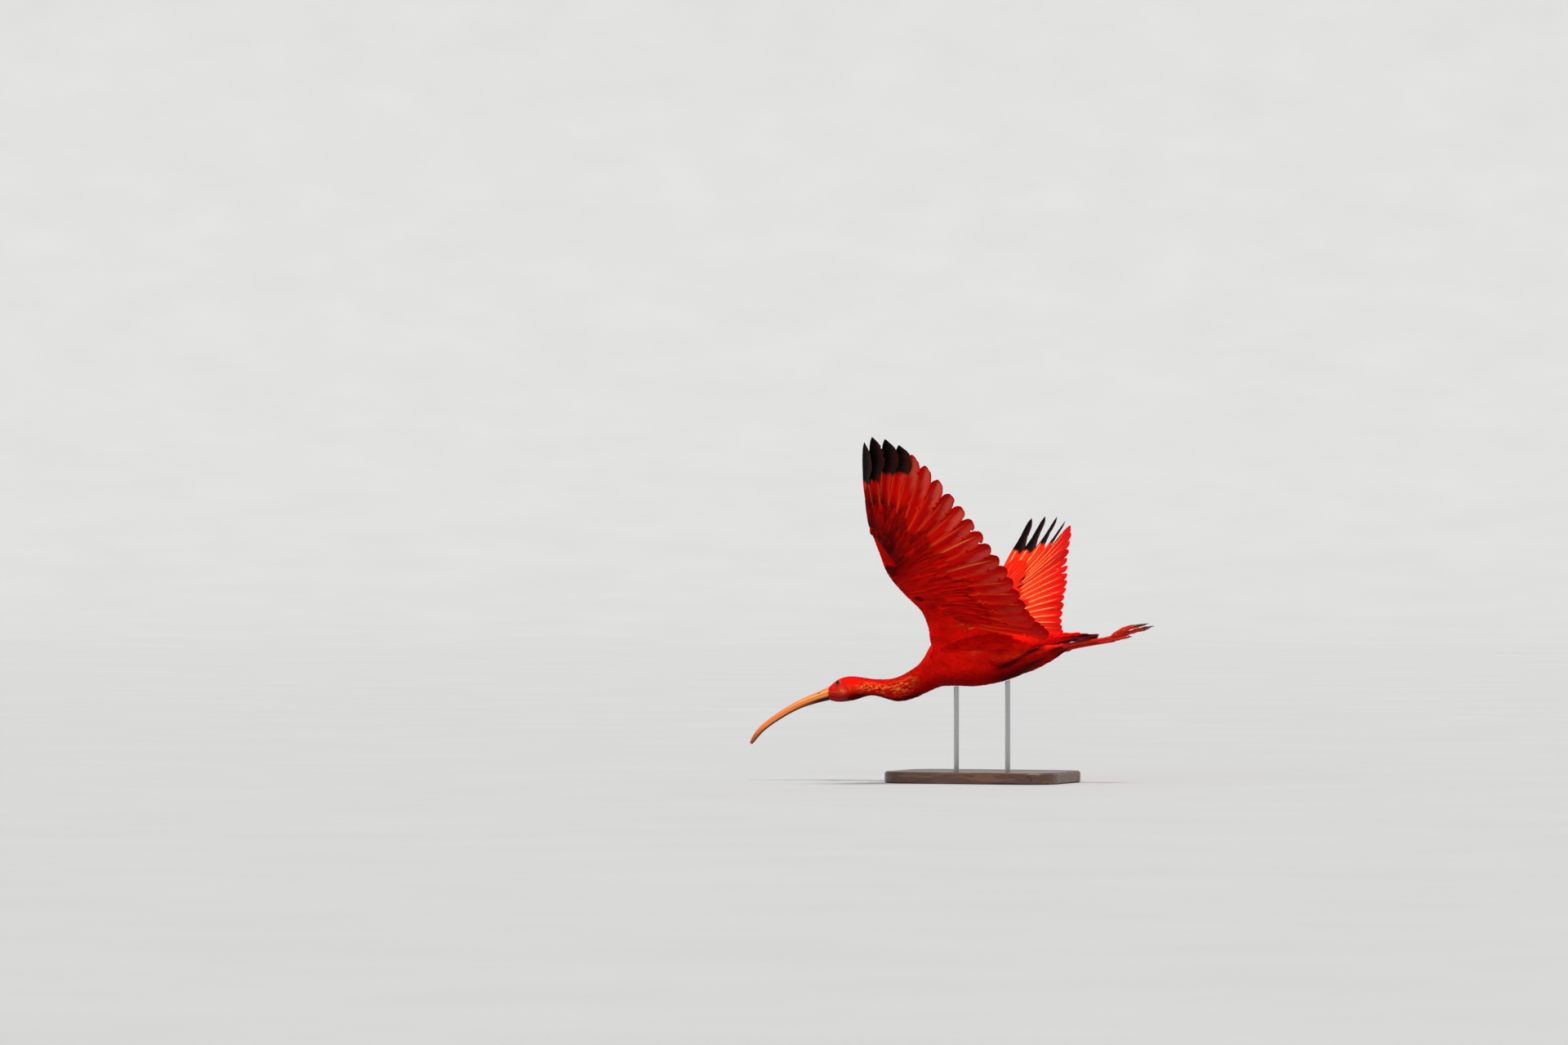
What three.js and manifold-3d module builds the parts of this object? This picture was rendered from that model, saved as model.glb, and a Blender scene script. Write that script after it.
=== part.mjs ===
// A scarlet ibis in flight, life size, as a still model on a plain display stand.
// Millimetres, +Z up. The bird flies towards -X, a little nose down and banked to its right.
// The origin is the middle of the base's underside.
import * as THREE from "three";
import { mergeVertices } from "three/addons/utils/BufferGeometryUtils.js";
import Module from "manifold-3d";

const wasm = await Module();
wasm.setup();
const { Manifold, Mesh: SolidMesh } = wasm;

// Clearance between nodes that touch
const GAP = 0.3;

// Attitude of the flying bird, in degrees, and the height of its shoulder line over the floor
const NOSE_DOWN = 11.7;
const BANK_RIGHT = 10.1;
const SHOULDER_HEIGHT = 198;
const STAND_CENTRE_BEHIND_SHOULDER = 62;

// Body profile in the bird's own frame: [forward, top, bottom, half width], forward of the shoulder line
const BODY = [
  [-150, 12.5, -42, 32],
  [-120, 23, -55, 42],
  [-90, 32, -60, 48],
  [-60, 38, -60.5, 51],
  [-36, 39.5, -58.5, 51],
  [-10, 36, -52.5, 48],
  [14, 20.5, -48.5, 39],
  [28, 5.5, -50, 31],
  [42, -5.5, -53, 26],
  [60, -13, -57, 22],
  [76, -17.5, -58.5, 20],
  [90, -19, -57, 18],
  [104, -17.5, -51, 16],
  [118, -14.5, -43.8, 14.4],
  [130, -10.5, -40.2, 14.8],
  [143, -6, -39.2, 16.2],
  [156, -2.8, -39.8, 17.4],
  [170, -1.4, -40, 17],
  [181, -2.6, -39.2, 15],
  [190, -6.4, -37.2, 12],
  [199, -12, -33.6, 9],
];
const TAIL_CONE = [
  [-150, 12.5, -42, 32],
  [-168, 4.5, -32, 26],
  [-186, -2.5, -24.5, 20],
  [-204, -8, -20, 14],
  [-224, -13, -18, 9],
];
const VENT = -150;
const NECK_BASE = 38;
const NECK_MIDDLE = 90;
const NAPE = 136;
const FACE = 197;
const SHOULDERS_BROADER = 0.12;
const CHEEKS_BROADER = 0.08;

// How finely each length of the body is divided
const TORSO_PARTS = { steps: 13, sides: 24 };
const NECK_LOWER_PARTS = { steps: 6, sides: 18 };
const NECK_UPPER_PARTS = { steps: 5, sides: 18 };
const HEAD_PARTS = { steps: 11, sides: 18 };
const TAIL_PARTS = { steps: 6, sides: 16 };

// Eye, with its lids and the way it looks
const EYE = { forward: 178, out: 9.8, up: -11.8, radius: 5.2, lidRadius: 4.9, lid: 1.1, lidOut: 2.7 };
const EYE_LOOKS = [0.2, 0.93, 0.3];

// Corner of the mouth, where its line ends under the eye
const GAPE = { forward: 176, up: -25.5, wide: 60, high: 0.8, deep: 2.5 };
const NOSTRIL = { forward: 213, long: 9, high: 1.3, deep: 1.6, share: 0.46 };

// Bill: centre line as [forward, up], and half thickness and half width along it
const BILL_LINE = [
  [196.5, -21.6],
  [223, -24.6],
  [252, -29.2],
  [281, -37.8],
  [311, -50.2],
  [327, -60.6],
  [340.5, -74],
];
const BILL_DEPTH = [10.2, 7.8, 6.2, 5.4, 4.8, 4.2, 2.7];
const BILL_WIDTH = [8.6, 6.4, 5.2, 4.6, 4.3, 4.1, 2.8];
const BILL_STEPS = 16;

// Half sections of the bill as [share of the half width, share of the half depth], from one side
// of the mouth's line round to the other
const UPPER_SECTION = [
  [1, 0],
  [1, 0.25],
  [0.82, 0.42],
  [0.84, 0.6],
  [0.5, 0.9],
  [0, 1],
  [-0.5, 0.9],
  [-0.84, 0.6],
  [-0.82, 0.42],
  [-1, 0.25],
  [-1, 0],
];
const LOWER_SECTION = [
  [0.94, 0],
  [0.9, -0.4],
  [0.5, -0.9],
  [0, -1],
  [-0.5, -0.9],
  [-0.9, -0.4],
  [-0.94, 0],
];

// Wing in the bird's own frame, as [forward, out, up]. Flight feathers are numbered from the
// outermost primary, 0, to the innermost tertial; the fleshy arm and hand use the same numbers.
const PRIMARIES = 10;
const SECONDARIES = 9;
const TERTIALS = 3;
const FLIGHT_FEATHERS = PRIMARIES + SECONDARIES + TERTIALS;
const WING_CORE = [
  { number: 25, lead: [7, 34, 2], trail: [-104, 40, 8], thick: 25 },
  { number: 23, lead: [3, 54, 13], trail: [-96, 56, 22], thick: 20 },
  { number: 20, lead: [-8, 86, 30], trail: [-88, 84, 36], thick: 15 },
  { number: 16.8, lead: [-12, 120, 49], trail: [-80, 112, 51], thick: 12.5 },
  { number: 13.1, lead: [-3, 158, 70], trail: [-62, 149, 71], thick: 11 },
  { number: 9.5, lead: [5, 195, 95], trail: [-46, 187, 98], thick: 10 },
  { number: 5, lead: [3, 226, 121], trail: [-34, 219, 126], thick: 7.5 },
  { number: 0, lead: [-1, 262, 152], trail: [-20, 254, 152], thick: 4.6 },
  { number: -2, lead: [-4, 276, 166], trail: [-13, 271, 165], thick: 2.2 },
];
const CORE_STEPS = 12;

// Section of the core as [share of the chord, share of the thickness above the chord line]
const AIRFOIL = [
  [0, 0],
  [0.07, 0.36],
  [0.28, 0.56],
  [0.62, 0.34],
  [1, 0.05],
  [1, -0.05],
  [0.62, -0.24],
  [0.28, -0.42],
  [0.07, -0.32],
];

// Where the flight feathers start and end
const ROOT_LINE = [
  { number: 0, at: [-7, 254, 146] },
  { number: 9, at: [-18, 200, 101] },
  { number: 15, at: [-43, 139, 63] },
  { number: 21, at: [-61, 76, 30] },
];
const TIP_LINE = [
  { number: 0, at: [-42, 356, 272] },
  { number: 1, at: [-60, 369, 273] },
  { number: 3, at: [-97, 357, 256] },
  { number: 5, at: [-118, 313, 224] },
  { number: 7, at: [-133, 257, 186] },
  { number: 10, at: [-151, 188, 130] },
  { number: 13, at: [-163, 127, 80] },
  { number: 17, at: [-170, 68, 17] },
  { number: 21, at: [-186, 36, -11] },
];

// The wings aren't held quite alike: how far each one's outermost tips lie off the line above,
// their nose-down twist in degrees, and how open their vanes are behind the shaft. The shift
// has died away at the number SHIFT_ENDS.
const FREE_TIPS = {
  right: { shift: [-4, 8, 4], twist: 28, open: 1 },
  left: { shift: [-2, 4, -5], twist: 5, open: 1.7 },
};
const SHIFT_ENDS = 9;

// Outlines of the vanes: [share of the length, width to the leading edge, width to the trailing edge]
const FINGER = [
  [0, 2.5, 3.5],
  [0.28, 6, 13],
  [0.56, 5.6, 15.5],
  [0.72, 3.6, 12],
  [0.86, 3.2, 10],
  [0.95, 2.4, 6.4],
  [1, 0.7, 0.9],
];
const PRIMARY = [
  [0, 3, 4],
  [0.3, 8, 15],
  [0.65, 9, 20],
  [0.86, 8.5, 17],
  [0.96, 5.5, 10],
  [1, 1.4, 2],
];
const SECONDARY = [
  [0, 4, 5],
  [0.35, 10, 16],
  [0.75, 11.5, 18],
  [0.94, 8, 12.5],
  [1, 2, 3],
];
const COVERT = [
  [0, 3, 4],
  [0.45, 8, 11],
  [0.85, 7, 9.5],
  [1, 1.8, 2.4],
];

// How flight feathers bow towards their lower side and their leading edge, as shares of their
// length: the outermost ones first, then the secondaries
const BOW = { down: [0.06, -0.02], forward: [0.012, 0.008] };

// Feathers lie like louvres, each inner one above the next outer one
const FEATHER_THICKNESS = 0.7;
const FEATHER_STEP = { least: 1.5, perSpacing: 0.03, steepest: 0.45 };
const LAYERS = 3;
const FINGERS = 4;

// How much lengths vary, as shares of them
const FLIGHT_VARIES = 0.012;
const COVERTS_VARY = 0.05;

// Tiers of coverts on the upper and lower face. Shares are counted along the flight feathers from
// their roots, and a tier's own roots lie in the core, off its middle by a share of its thickness.
const COVERT_TIERS = [
  { face: 1, from: -0.1, to: 0.4, first: 1.5, last: 20.5, count: 19, sunk: 0.3, broad: 1 },
  { face: -1, from: -0.08, to: 0.36, first: 1.5, last: 20.5, count: 18, sunk: 0.2, broad: 1.1 },
];
const ALULA = { count: 3, root: [0, 205, 103], tip: [-8, 243, 142], step: 1.4, back: 7, broad: 0.62 };

// Tail: a closed fan, each half's feathers stepping down from the middle pair
const TAIL = {
  pairs: 6,
  root: { forward: -170, up: -4.5, apart: 1.4 },
  tip: { forward: -253, up: -19, apart: 3.3, shorter: 2 },
  step: 1.1,
  droop: 4,
  broad: 0.62,
};
const TAIL_COVERTS = [
  { face: 1, count: 5, root: [-158, 10, 1.5], tip: [-210, 14, -8.5], arched: [14, 10], broad: 0.75 },
  { face: -1, count: 5, root: [-158, 9, -33], tip: [-224, 12, -22.5], arched: [14, 10], broad: 0.75 },
];

// Legs: rows of [forward, out, up, half width, half depth]
const THIGH = [
  [-84, 35, -29, 10, 13],
  [-102, 34, -32, 14, 16],
  [-126, 28, -33.5, 13, 14.5],
  [-150, 21, -32.5, 10.5, 12],
  [-172, 15.5, -29.8, 7, 8],
  [-190, 12.5, -28, 4, 4.6],
];
const SHANK = [
  [-190.9, 12.3, -28.2, 2.9, 3.2],
  [-197, 12, -27.9, 4.1, 4.4],
  [-206, 11.8, -28, 2.8, 3.3],
  [-240, 11, -29.4, 2.4, 3],
  [-264, 10.3, -30.6, 2.6, 3],
  [-272, 10, -30.8, 3.6, 3.5],
];
const THIGH_SIDES = 14;
const SHANK_SIDES = 10;
const TOE_JOINT = [-274, 10, -30.6];
const TOE_JOINT_RADIUS = 3.9;
const TOES = [
  { joints: 4, tip: [-333, 12, -22], arch: 3.5, thick: 3.3, claw: 8 },
  { joints: 3, tip: [-317, 5, -19], arch: 4.5, thick: 3, claw: 7 },
  { joints: 4, tip: [-323, 18, -23], arch: 2.5, thick: 3, claw: 7 },
  { joints: 2, tip: [-299, 7, -31.5], arch: 0, thick: 2.6, claw: 6 },
];
// Thickness of a toe between two pads, as a share of the pad's
const BETWEEN_PADS = 0.82;
// Claw as [share of its length, radius], and how far its tip curves down
const CLAW = [
  [0.15, 1.5],
  [0.6, 1.1],
  [1, 0.35],
];
const CLAW_DROP = 1.2;

// Stand
const BASE = { long: 280, wide: 190, high: 18, corner: 40, edge: 2.5 };
const ROD = { radius: 4, frontBehindShoulder: 18, rearBehindShoulder: 104 };

const MATERIALS = {
  plumage: new THREE.MeshStandardMaterial({ color: 0xd8200f, roughness: 0.75 }),
  skin: new THREE.MeshStandardMaterial({ color: 0xe0452a, roughness: 0.6 }),
  bill: new THREE.MeshStandardMaterial({ color: 0xd9855a, roughness: 0.45 }),
  eye: new THREE.MeshStandardMaterial({ color: 0x140806, roughness: 0.1 }),
  wood: new THREE.MeshStandardMaterial({ color: 0x5a3a24, roughness: 0.5 }),
  steel: new THREE.MeshStandardMaterial({ color: 0x8c8c8c, roughness: 0.35, metalness: 1 }),
};

// Points are made from forward, out and up; forward is -X and the right side is +Y
const point = (forward, out, up) => new THREE.Vector3(-forward, out, up);

const lastOf = (rows) => rows[rows.length - 1];

// Reads a table of rows at a position along its first column, smoothly
function alongTable(rows, at) {
  const falling = rows[0][0] > rows[rows.length - 1][0];
  const table = falling ? [...rows].reverse() : rows;
  let i = 0;
  while (i < table.length - 2 && at > table[i + 1][0]) i++;
  const t = (at - table[i][0]) / (table[i + 1][0] - table[i][0]);
  const before = table[Math.max(i - 1, 0)];
  const after = table[Math.min(i + 2, table.length - 1)];
  return table[i].slice(1).map((value, k) => {
    const next = table[i + 1][k + 1];
    const slopeIn = slope(before, table[i + 1], k + 1) * (table[i + 1][0] - table[i][0]);
    const slopeOut = slope(table[i], after, k + 1) * (table[i + 1][0] - table[i][0]);
    const t2 = t * t;
    const t3 = t2 * t;
    return (
      (2 * t3 - 3 * t2 + 1) * value +
      (t3 - 2 * t2 + t) * slopeIn +
      (3 * t2 - 2 * t3) * next +
      (t3 - t2) * slopeOut
    );
  });
}

function slope(a, b, column) {
  return b[0] === a[0] ? 0 : (b[column] - a[column]) / (b[0] - a[0]);
}

// Reads a line of numbered points at a feather's number
function onLine(line, number) {
  return point(...alongTable(line.map(({ number: n, at }) => [n, ...at]), number));
}

// A closed geometry becomes a solid with its faces pointing out
function solidOf(geometry) {
  const bare = geometry.clone();
  bare.deleteAttribute("normal");
  bare.deleteAttribute("uv");
  const merged = mergeVertices(bare, 1e-4);
  const triVerts = new Uint32Array(merged.index.array);
  const vertProperties = new Float32Array(merged.attributes.position.array);
  const made = new Manifold(new SolidMesh({ numProp: 3, vertProperties, triVerts }));
  if (made.volume() > 0) return made;
  const turned = triVerts.slice();
  for (let i = 0; i < turned.length; i += 3) {
    turned[i + 1] = triVerts[i + 2];
    turned[i + 2] = triVerts[i + 1];
  }
  return new Manifold(new SolidMesh({ numProp: 3, vertProperties, triVerts: turned }));
}

// Rings of equal count are joined into a tube, with a fan over each end
function loft(rings) {
  const count = rings[0].length;
  const vertices = rings.flat();
  const middle = (ring) =>
    ring.reduce((sum, p) => sum.add(p), new THREE.Vector3()).divideScalar(count);
  const faces = [];
  for (let r = 0; r < rings.length - 1; r++)
    for (let i = 0; i < count; i++) {
      const a = r * count + i;
      const b = r * count + ((i + 1) % count);
      faces.push(a, b, b + count, a, b + count, a + count);
    }
  for (const [ring, start, turn] of [
    [rings[0], 0, false],
    [rings[rings.length - 1], (rings.length - 1) * count, true],
  ]) {
    const centre = vertices.push(middle(ring)) - 1;
    for (let i = 0; i < count; i++) {
      const a = start + i;
      const b = start + ((i + 1) % count);
      faces.push(...(turn ? [a, b, centre] : [b, a, centre]));
    }
  }
  return solidOf(
    new THREE.BufferGeometry()
      .setFromPoints(vertices)
      .setIndex(faces),
  );
}

// A seeded draw between 0 and 1, so that like feathers vary a little
let seed = 7;
function random() {
  seed = (seed * 16807) % 2147483647;
  return seed / 2147483647;
}

// The largest closed surface of a solid, which drops loose scraps and fills sealed hollows
function largest(solid) {
  const bodies = solid.decompose();
  return bodies.reduce((best, body) => (body.volume() > best.volume() ? body : best));
}

function geometryOf(solid) {
  const { numProp, numVert, vertProperties, triVerts } = solid.getMesh();
  const places = new Float32Array(numVert * 3);
  for (let i = 0; i < numVert; i++)
    places.set(vertProperties.subarray(i * numProp, i * numProp + 3), i * 3);
  const geometry = new THREE.BufferGeometry()
    .setAttribute("position", new THREE.BufferAttribute(places, 3))
    .setIndex(new THREE.BufferAttribute(triVerts, 1));
  geometry.computeVertexNormals();
  return geometry;
}

function node(name, solid, material) {
  const mesh = new THREE.Mesh(geometryOf(largest(solid)), material);
  mesh.name = name;
  return mesh;
}

// Body sections

// One egg-shaped ring across the body, broadest above its middle at the shoulders and below it
// at the cheeks
function bodyRing(table, forward, sides, grow) {
  const [top, bottom, halfWidth] = alongTable(table, forward);
  const middle = (top + bottom) / 2;
  const towardsHead = THREE.MathUtils.smoothstep(forward, NECK_BASE - 20, NAPE);
  const egg = THREE.MathUtils.lerp(SHOULDERS_BROADER, -CHEEKS_BROADER, towardsHead);
  const ring = [];
  for (let i = 0; i < sides; i++) {
    const angle = (2 * Math.PI * i) / sides;
    const out = (halfWidth + grow) * Math.cos(angle) * (1 + egg * Math.sin(angle));
    const up = ((top - bottom) / 2 + grow) * Math.sin(angle);
    ring.push(point(forward, out, middle + up));
  }
  return ring;
}

function bodyLength(table, from, to, { steps, sides }, grow = 0) {
  const rings = [];
  for (let i = 0; i <= steps; i++) {
    const forward = THREE.MathUtils.lerp(from, to, i / steps);
    rings.push(bodyRing(table, forward, sides, grow));
  }
  return loft(rings);
}

// A tube of oval section along a line of points, with half sizes for each of them
function limb(centres, halfOut, halfUp, sides, grow = 0) {
  const rings = centres.map((centre, i) => {
    const before = centres[Math.max(i - 1, 0)];
    const after = centres[Math.min(i + 1, centres.length - 1)];
    const along = after.clone().sub(before).normalize();
    const across = new THREE.Vector3(0, 1, 0).addScaledVector(along, -along.y).normalize();
    const up = new THREE.Vector3().crossVectors(along, across);
    return Array.from({ length: sides }, (_, k) => {
      const angle = (2 * Math.PI * k) / sides;
      return centre
        .clone()
        .addScaledVector(across, (halfOut[i] + grow) * Math.cos(angle))
        .addScaledVector(up, (halfUp[i] + grow) * Math.sin(angle));
    });
  });
  return loft(rings);
}

function limbFrom(rows, sides, grow = 0) {
  return limb(
    rows.map(([forward, out, up]) => point(forward, out, up)),
    rows.map((row) => row[3]),
    rows.map((row) => row[4]),
    sides,
    grow,
  );
}

// Feathers

// A thin vane through stations that give a centre, the way to the leading edge and the upper side
function vane(stations) {
  return plate(
    stations.map(({ centre, side, up, lead, rear }) => {
      const half = up.clone().multiplyScalar(FEATHER_THICKNESS / 2);
      const front = centre.clone().addScaledVector(side, lead);
      const back = centre.clone().addScaledVector(side, -rear);
      return [
        front.clone().add(half),
        back.clone().add(half),
        back.clone().sub(half),
        front.clone().sub(half),
      ];
    }),
  );
}

// Rings of four corners become a thin plate whose two faces are split alike
function plate(rings) {
  const faces = [];
  for (let r = 0; r < rings.length - 1; r++) {
    const a = r * 4;
    const b = a + 4;
    faces.push(a, a + 1, b + 1, a, b + 1, b);
    faces.push(a + 1, a + 2, b + 2, a + 1, b + 2, b + 1);
    faces.push(a + 3, b + 2, a + 2, a + 3, b + 3, b + 2);
    faces.push(a + 3, a, b, a + 3, b, b + 3);
  }
  const last = (rings.length - 1) * 4;
  faces.push(0, 2, 1, 0, 3, 2);
  faces.push(last, last + 1, last + 2, last, last + 2, last + 3);
  return solidOf(new THREE.BufferGeometry().setFromPoints(rings.flat()).setIndex(faces));
}

// The wing's fleshy arm and hand at a feather's number
function coreAt(number) {
  const rows = WING_CORE.map(({ number: n, lead, trail, thick }) => [n, ...lead, ...trail, thick]);
  const row = alongTable(rows, number);
  return { lead: point(...row.slice(0, 3)), trail: point(...row.slice(3, 6)), thick: row[6] };
}

function wingCore() {
  const first = WING_CORE[0].number;
  const last = lastOf(WING_CORE).number;
  const rings = [];
  for (let k = 0; k <= CORE_STEPS; k++) {
    const number = THREE.MathUtils.lerp(first, last, k / CORE_STEPS);
    const { lead, trail, thick } = coreAt(number);
    const span = coreAt(number - 0.2).lead.sub(coreAt(number + 0.2).lead);
    const chord = trail.clone().sub(lead);
    const up = new THREE.Vector3().crossVectors(span, chord).normalize();
    if (up.z < 0) up.negate();
    const place = ([t, high]) =>
      lead.clone().addScaledVector(chord, t).addScaledVector(up, high * thick);
    rings.push(AIRFOIL.map(place));
  }
  return loft(rings);
}

// How a flight feather bows, between the outermost ones and the secondaries
function bowOf(number) {
  const inner = THREE.MathUtils.smoothstep(number, 2, PRIMARIES);
  return {
    down: THREE.MathUtils.lerp(BOW.down[0], BOW.down[1], inner),
    forward: THREE.MathUtils.lerp(BOW.forward[0], BOW.forward[1], inner),
  };
}

// Where a feather's tip lies on one wing
function tipAt(number, label) {
  const shifted = 1 - THREE.MathUtils.smoothstep(number, FINGERS - 1, SHIFT_ENDS);
  return onLine(TIP_LINE, number).addScaledVector(point(...FREE_TIPS[label].shift), shifted);
}

// The numbers just outside and inside a feather, kept within the wing
const outsideOf = (number) => Math.max(number - 0.5, 0);
const insideOf = (number) => Math.min(number + 0.5, FLIGHT_FEATHERS - 1);

// A place on the sheet of flight feathers, t = 0 at their roots and 1 at their tips
function sheetPoint(label, number, t) {
  const root = onLine(ROOT_LINE, number);
  const along = tipAt(number, label).sub(root);
  const outward = onLine(ROOT_LINE, outsideOf(number))
    .add(tipAt(outsideOf(number), label))
    .sub(onLine(ROOT_LINE, insideOf(number)))
    .sub(tipAt(insideOf(number), label));
  const upper = new THREE.Vector3().crossVectors(along, outward).normalize();
  if (upper.z < 0) upper.negate();
  const forward = new THREE.Vector3().crossVectors(upper, along).normalize();
  if (forward.dot(outward) < 0) forward.negate();
  const bow = bowOf(number);
  const arch = t > 0 ? 4 * t * (1 - t) * along.length() : 0;
  return root
    .addScaledVector(along, t)
    .addScaledVector(upper, -bow.down * arch)
    .addScaledVector(forward, bow.forward * arch);
}

// The sheet's own directions at a place, turned so that feathers a step apart clear one another.
// Flight feathers and upper coverts lie above their outer neighbour, lower coverts below it.
function sheetFrame(label, number, t, featherStep, face, extraTilt = 0) {
  const centre = sheetPoint(label, number, t);
  const before = sheetPoint(label, number, t - 0.02);
  const along = sheetPoint(label, number, t + 0.02).sub(before).normalize();
  const across = sheetPoint(label, outsideOf(number), t);
  across.sub(sheetPoint(label, insideOf(number), t));
  across.addScaledVector(along, -across.dot(along));
  const spacing = across.length() / (insideOf(number) - outsideOf(number));
  across.normalize();
  const upper = new THREE.Vector3().crossVectors(along, across);
  if (upper.z < 0) upper.negate();
  const step = FEATHER_STEP.least + FEATHER_STEP.perSpacing * spacing;
  const louvre = Math.asin(Math.min(step / (spacing * featherStep), FEATHER_STEP.steepest));
  const tilt = face * louvre + THREE.MathUtils.degToRad(extraTilt);
  const side = across.clone().multiplyScalar(Math.cos(tilt));
  side.addScaledVector(upper, Math.sin(tilt));
  const up = upper.clone().multiplyScalar(Math.cos(tilt));
  up.addScaledVector(across, -Math.sin(tilt));
  return { centre, side, up, upper, spacing, step };
}

function outlineOf(number) {
  if (number < FINGERS) return FINGER;
  return number < PRIMARIES ? PRIMARY : SECONDARY;
}

function flightFeather(label, number) {
  const { twist, open } = FREE_TIPS[label];
  const free = number < FINGERS ? 1 - number / (2 * FINGERS) : 0;
  const reach = 1 + FLIGHT_VARIES * (random() - 0.5);
  return vane(
    outlineOf(number).map(([t, lead, rear]) => {
      // Only the free tips of the outermost primaries twist and open
      const freed = THREE.MathUtils.smoothstep(t, 0.6, 0.85);
      const frame = sheetFrame(label, number, t * reach, 1, 1, -twist * free * freed);
      const opened = free > 0 ? THREE.MathUtils.lerp(1, open, freed) : 1;
      const wide = lead + rear * opened;
      const narrow = Math.min(1, (LAYERS * frame.spacing) / wide);
      return { ...frame, lead: lead * narrow, rear: rear * opened * narrow };
    }),
  );
}

// Each covert lies over the core and clear of the flight feathers, on their upper or lower face
function covertTier(label, { face, from, to, first, last, count, sunk, broad }) {
  const featherStep = (last - first) / (count - 1);
  return Array.from({ length: count }, (_, k) => {
    const number = first + k * featherStep;
    const { thick } = coreAt(number);
    const start = from * THREE.MathUtils.smoothstep(number, PRIMARIES - 3, PRIMARIES + 2);
    const reach = 1 + COVERTS_VARY * (random() - 0.5);
    return vane(
      COVERT.map(([share, fullLead, fullRear]) => {
        const t = start + (to - start) * share * reach;
        const frame = sheetFrame(label, number, t, featherStep, face);
        const size = Math.min(broad, (LAYERS * frame.spacing) / (fullLead + fullRear));
        const lead = fullLead * size;
        const rear = fullRear * size;
        const [underLead, underRear] = alongTable(outlineOf(number), Math.max(t, 0));
        const overlap = (face > 0 ? underLead : underRear) + rear;
        const clear = frame.step * (1 + overlap / frame.spacing);
        const height = sunk * thick * (1 - share) + clear * Math.min(1, 2.2 * share);
        frame.centre.addScaledVector(frame.upper, face * height);
        return { ...frame, lead, rear };
      }),
    );
  });
}

// The few stiff feathers of the thumb, along the hand's leading edge
function alula() {
  const root = point(...ALULA.root);
  const tip = point(...ALULA.tip);
  const along = tip.clone().sub(root).normalize();
  const upper = new THREE.Vector3(0, -Math.SQRT1_2, Math.SQRT1_2);
  upper.addScaledVector(along, -upper.dot(along)).normalize();
  const side = new THREE.Vector3().crossVectors(along, upper);
  if (side.x > 0) side.negate();
  return Array.from({ length: ALULA.count }, (_, k) =>
    vane(
      COVERT.map(([share, lead, rear]) => ({
        centre: root
          .clone()
          .addScaledVector(tip.clone().sub(root), share * (1 - 0.2 * k))
          .addScaledVector(side, -k * ALULA.back * 0.5)
          .addScaledVector(upper, 3 + k * ALULA.step),
        side,
        up: upper,
        lead: lead * ALULA.broad,
        rear: rear * ALULA.broad,
      })),
    ),
  );
}

// A right wing, with its tips where those of the named one lie
function wing(label) {
  const pieces = [wingCore(), ...alula()];
  for (let number = 0; number < FLIGHT_FEATHERS; number++)
    pieces.push(flightFeather(label, number));
  for (const tier of COVERT_TIERS) pieces.push(...covertTier(label, tier));
  return Manifold.union(pieces);
}

// Tail

const [tailEnd] = lastOf(TAIL_CONE);

// One tail feather: pair 0 is the middle one, and the left half lies half a step lower
function tailFeather(pair, side) {
  const { root, tip, step, droop, broad } = TAIL;
  const steepness = Math.tan(THREE.MathUtils.degToRad(droop));
  const place = (end, apart, shorter) => {
    const out = apart * (pair + 0.5);
    const low = (step + apart * steepness) * pair + (side < 0 ? step / 2 : 0);
    return point(end.forward + shorter * pair, side * out, end.up - low);
  };
  const from = place(root, root.apart, 0);
  const to = place(tip, tip.apart, tip.shorter);
  const along = to.clone().sub(from).normalize();
  const up = new THREE.Vector3(0, side * steepness, 1).normalize();
  up.addScaledVector(along, -up.dot(along)).normalize();
  const across = new THREE.Vector3().crossVectors(up, along);
  if (across.y * side < 0) across.negate();
  // The inner edge stops short of the other half's feathers
  const inner = THREE.MathUtils.lerp(root.apart, tip.apart, 0.75) * (pair + 0.5) - GAP;
  return vane(
    SECONDARY.map(([t, lead, rear]) => ({
      centre: from.clone().lerp(to, t),
      side: across,
      up,
      lead: lead * broad,
      rear: Math.min(rear * broad, inner * THREE.MathUtils.lerp(0.4, 1, t)),
    })),
  );
}

// Coverts over and under the root of the tail, in an arc across it
function tailCoverts({ face, count, root, tip, arched, broad }) {
  return Array.from({ length: count }, (_, k) => {
    const across = (2 * k) / (count - 1) - 1;
    const arch = 1 - Math.sqrt(1 - (0.85 * across) ** 2);
    const [rootForward, rootOut, rootUp] = root;
    const [tipForward, tipOut, tipUp] = tip;
    const from = point(rootForward, rootOut * across, rootUp - face * arch * arched[0]);
    // The outer ones are shorter, and all of them vary
    const shorter = 10 * across * across + 3 * (random() - 0.5);
    const to = point(tipForward + shorter, tipOut * across, tipUp - face * arch * arched[1]);
    const along = to.clone().sub(from).normalize();
    const up = new THREE.Vector3(0, 0.75 * across, face).normalize();
    up.addScaledVector(along, -up.dot(along)).normalize();
    const side = new THREE.Vector3().crossVectors(up, along).normalize();
    // The middle one lies outermost, and each next one a step further in
    const raise = FEATHER_STEP.least * (1 - Math.abs(across)) * ((count - 1) / 2);
    return vane(
      COVERT.map(([share, lead, rear]) => {
        const half = ((lead + rear) / 2) * broad;
        const centre = from.clone().lerp(to, share).addScaledVector(up, raise);
        return { centre, side, up, lead: half, rear: half };
      }),
    );
  });
}

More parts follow.
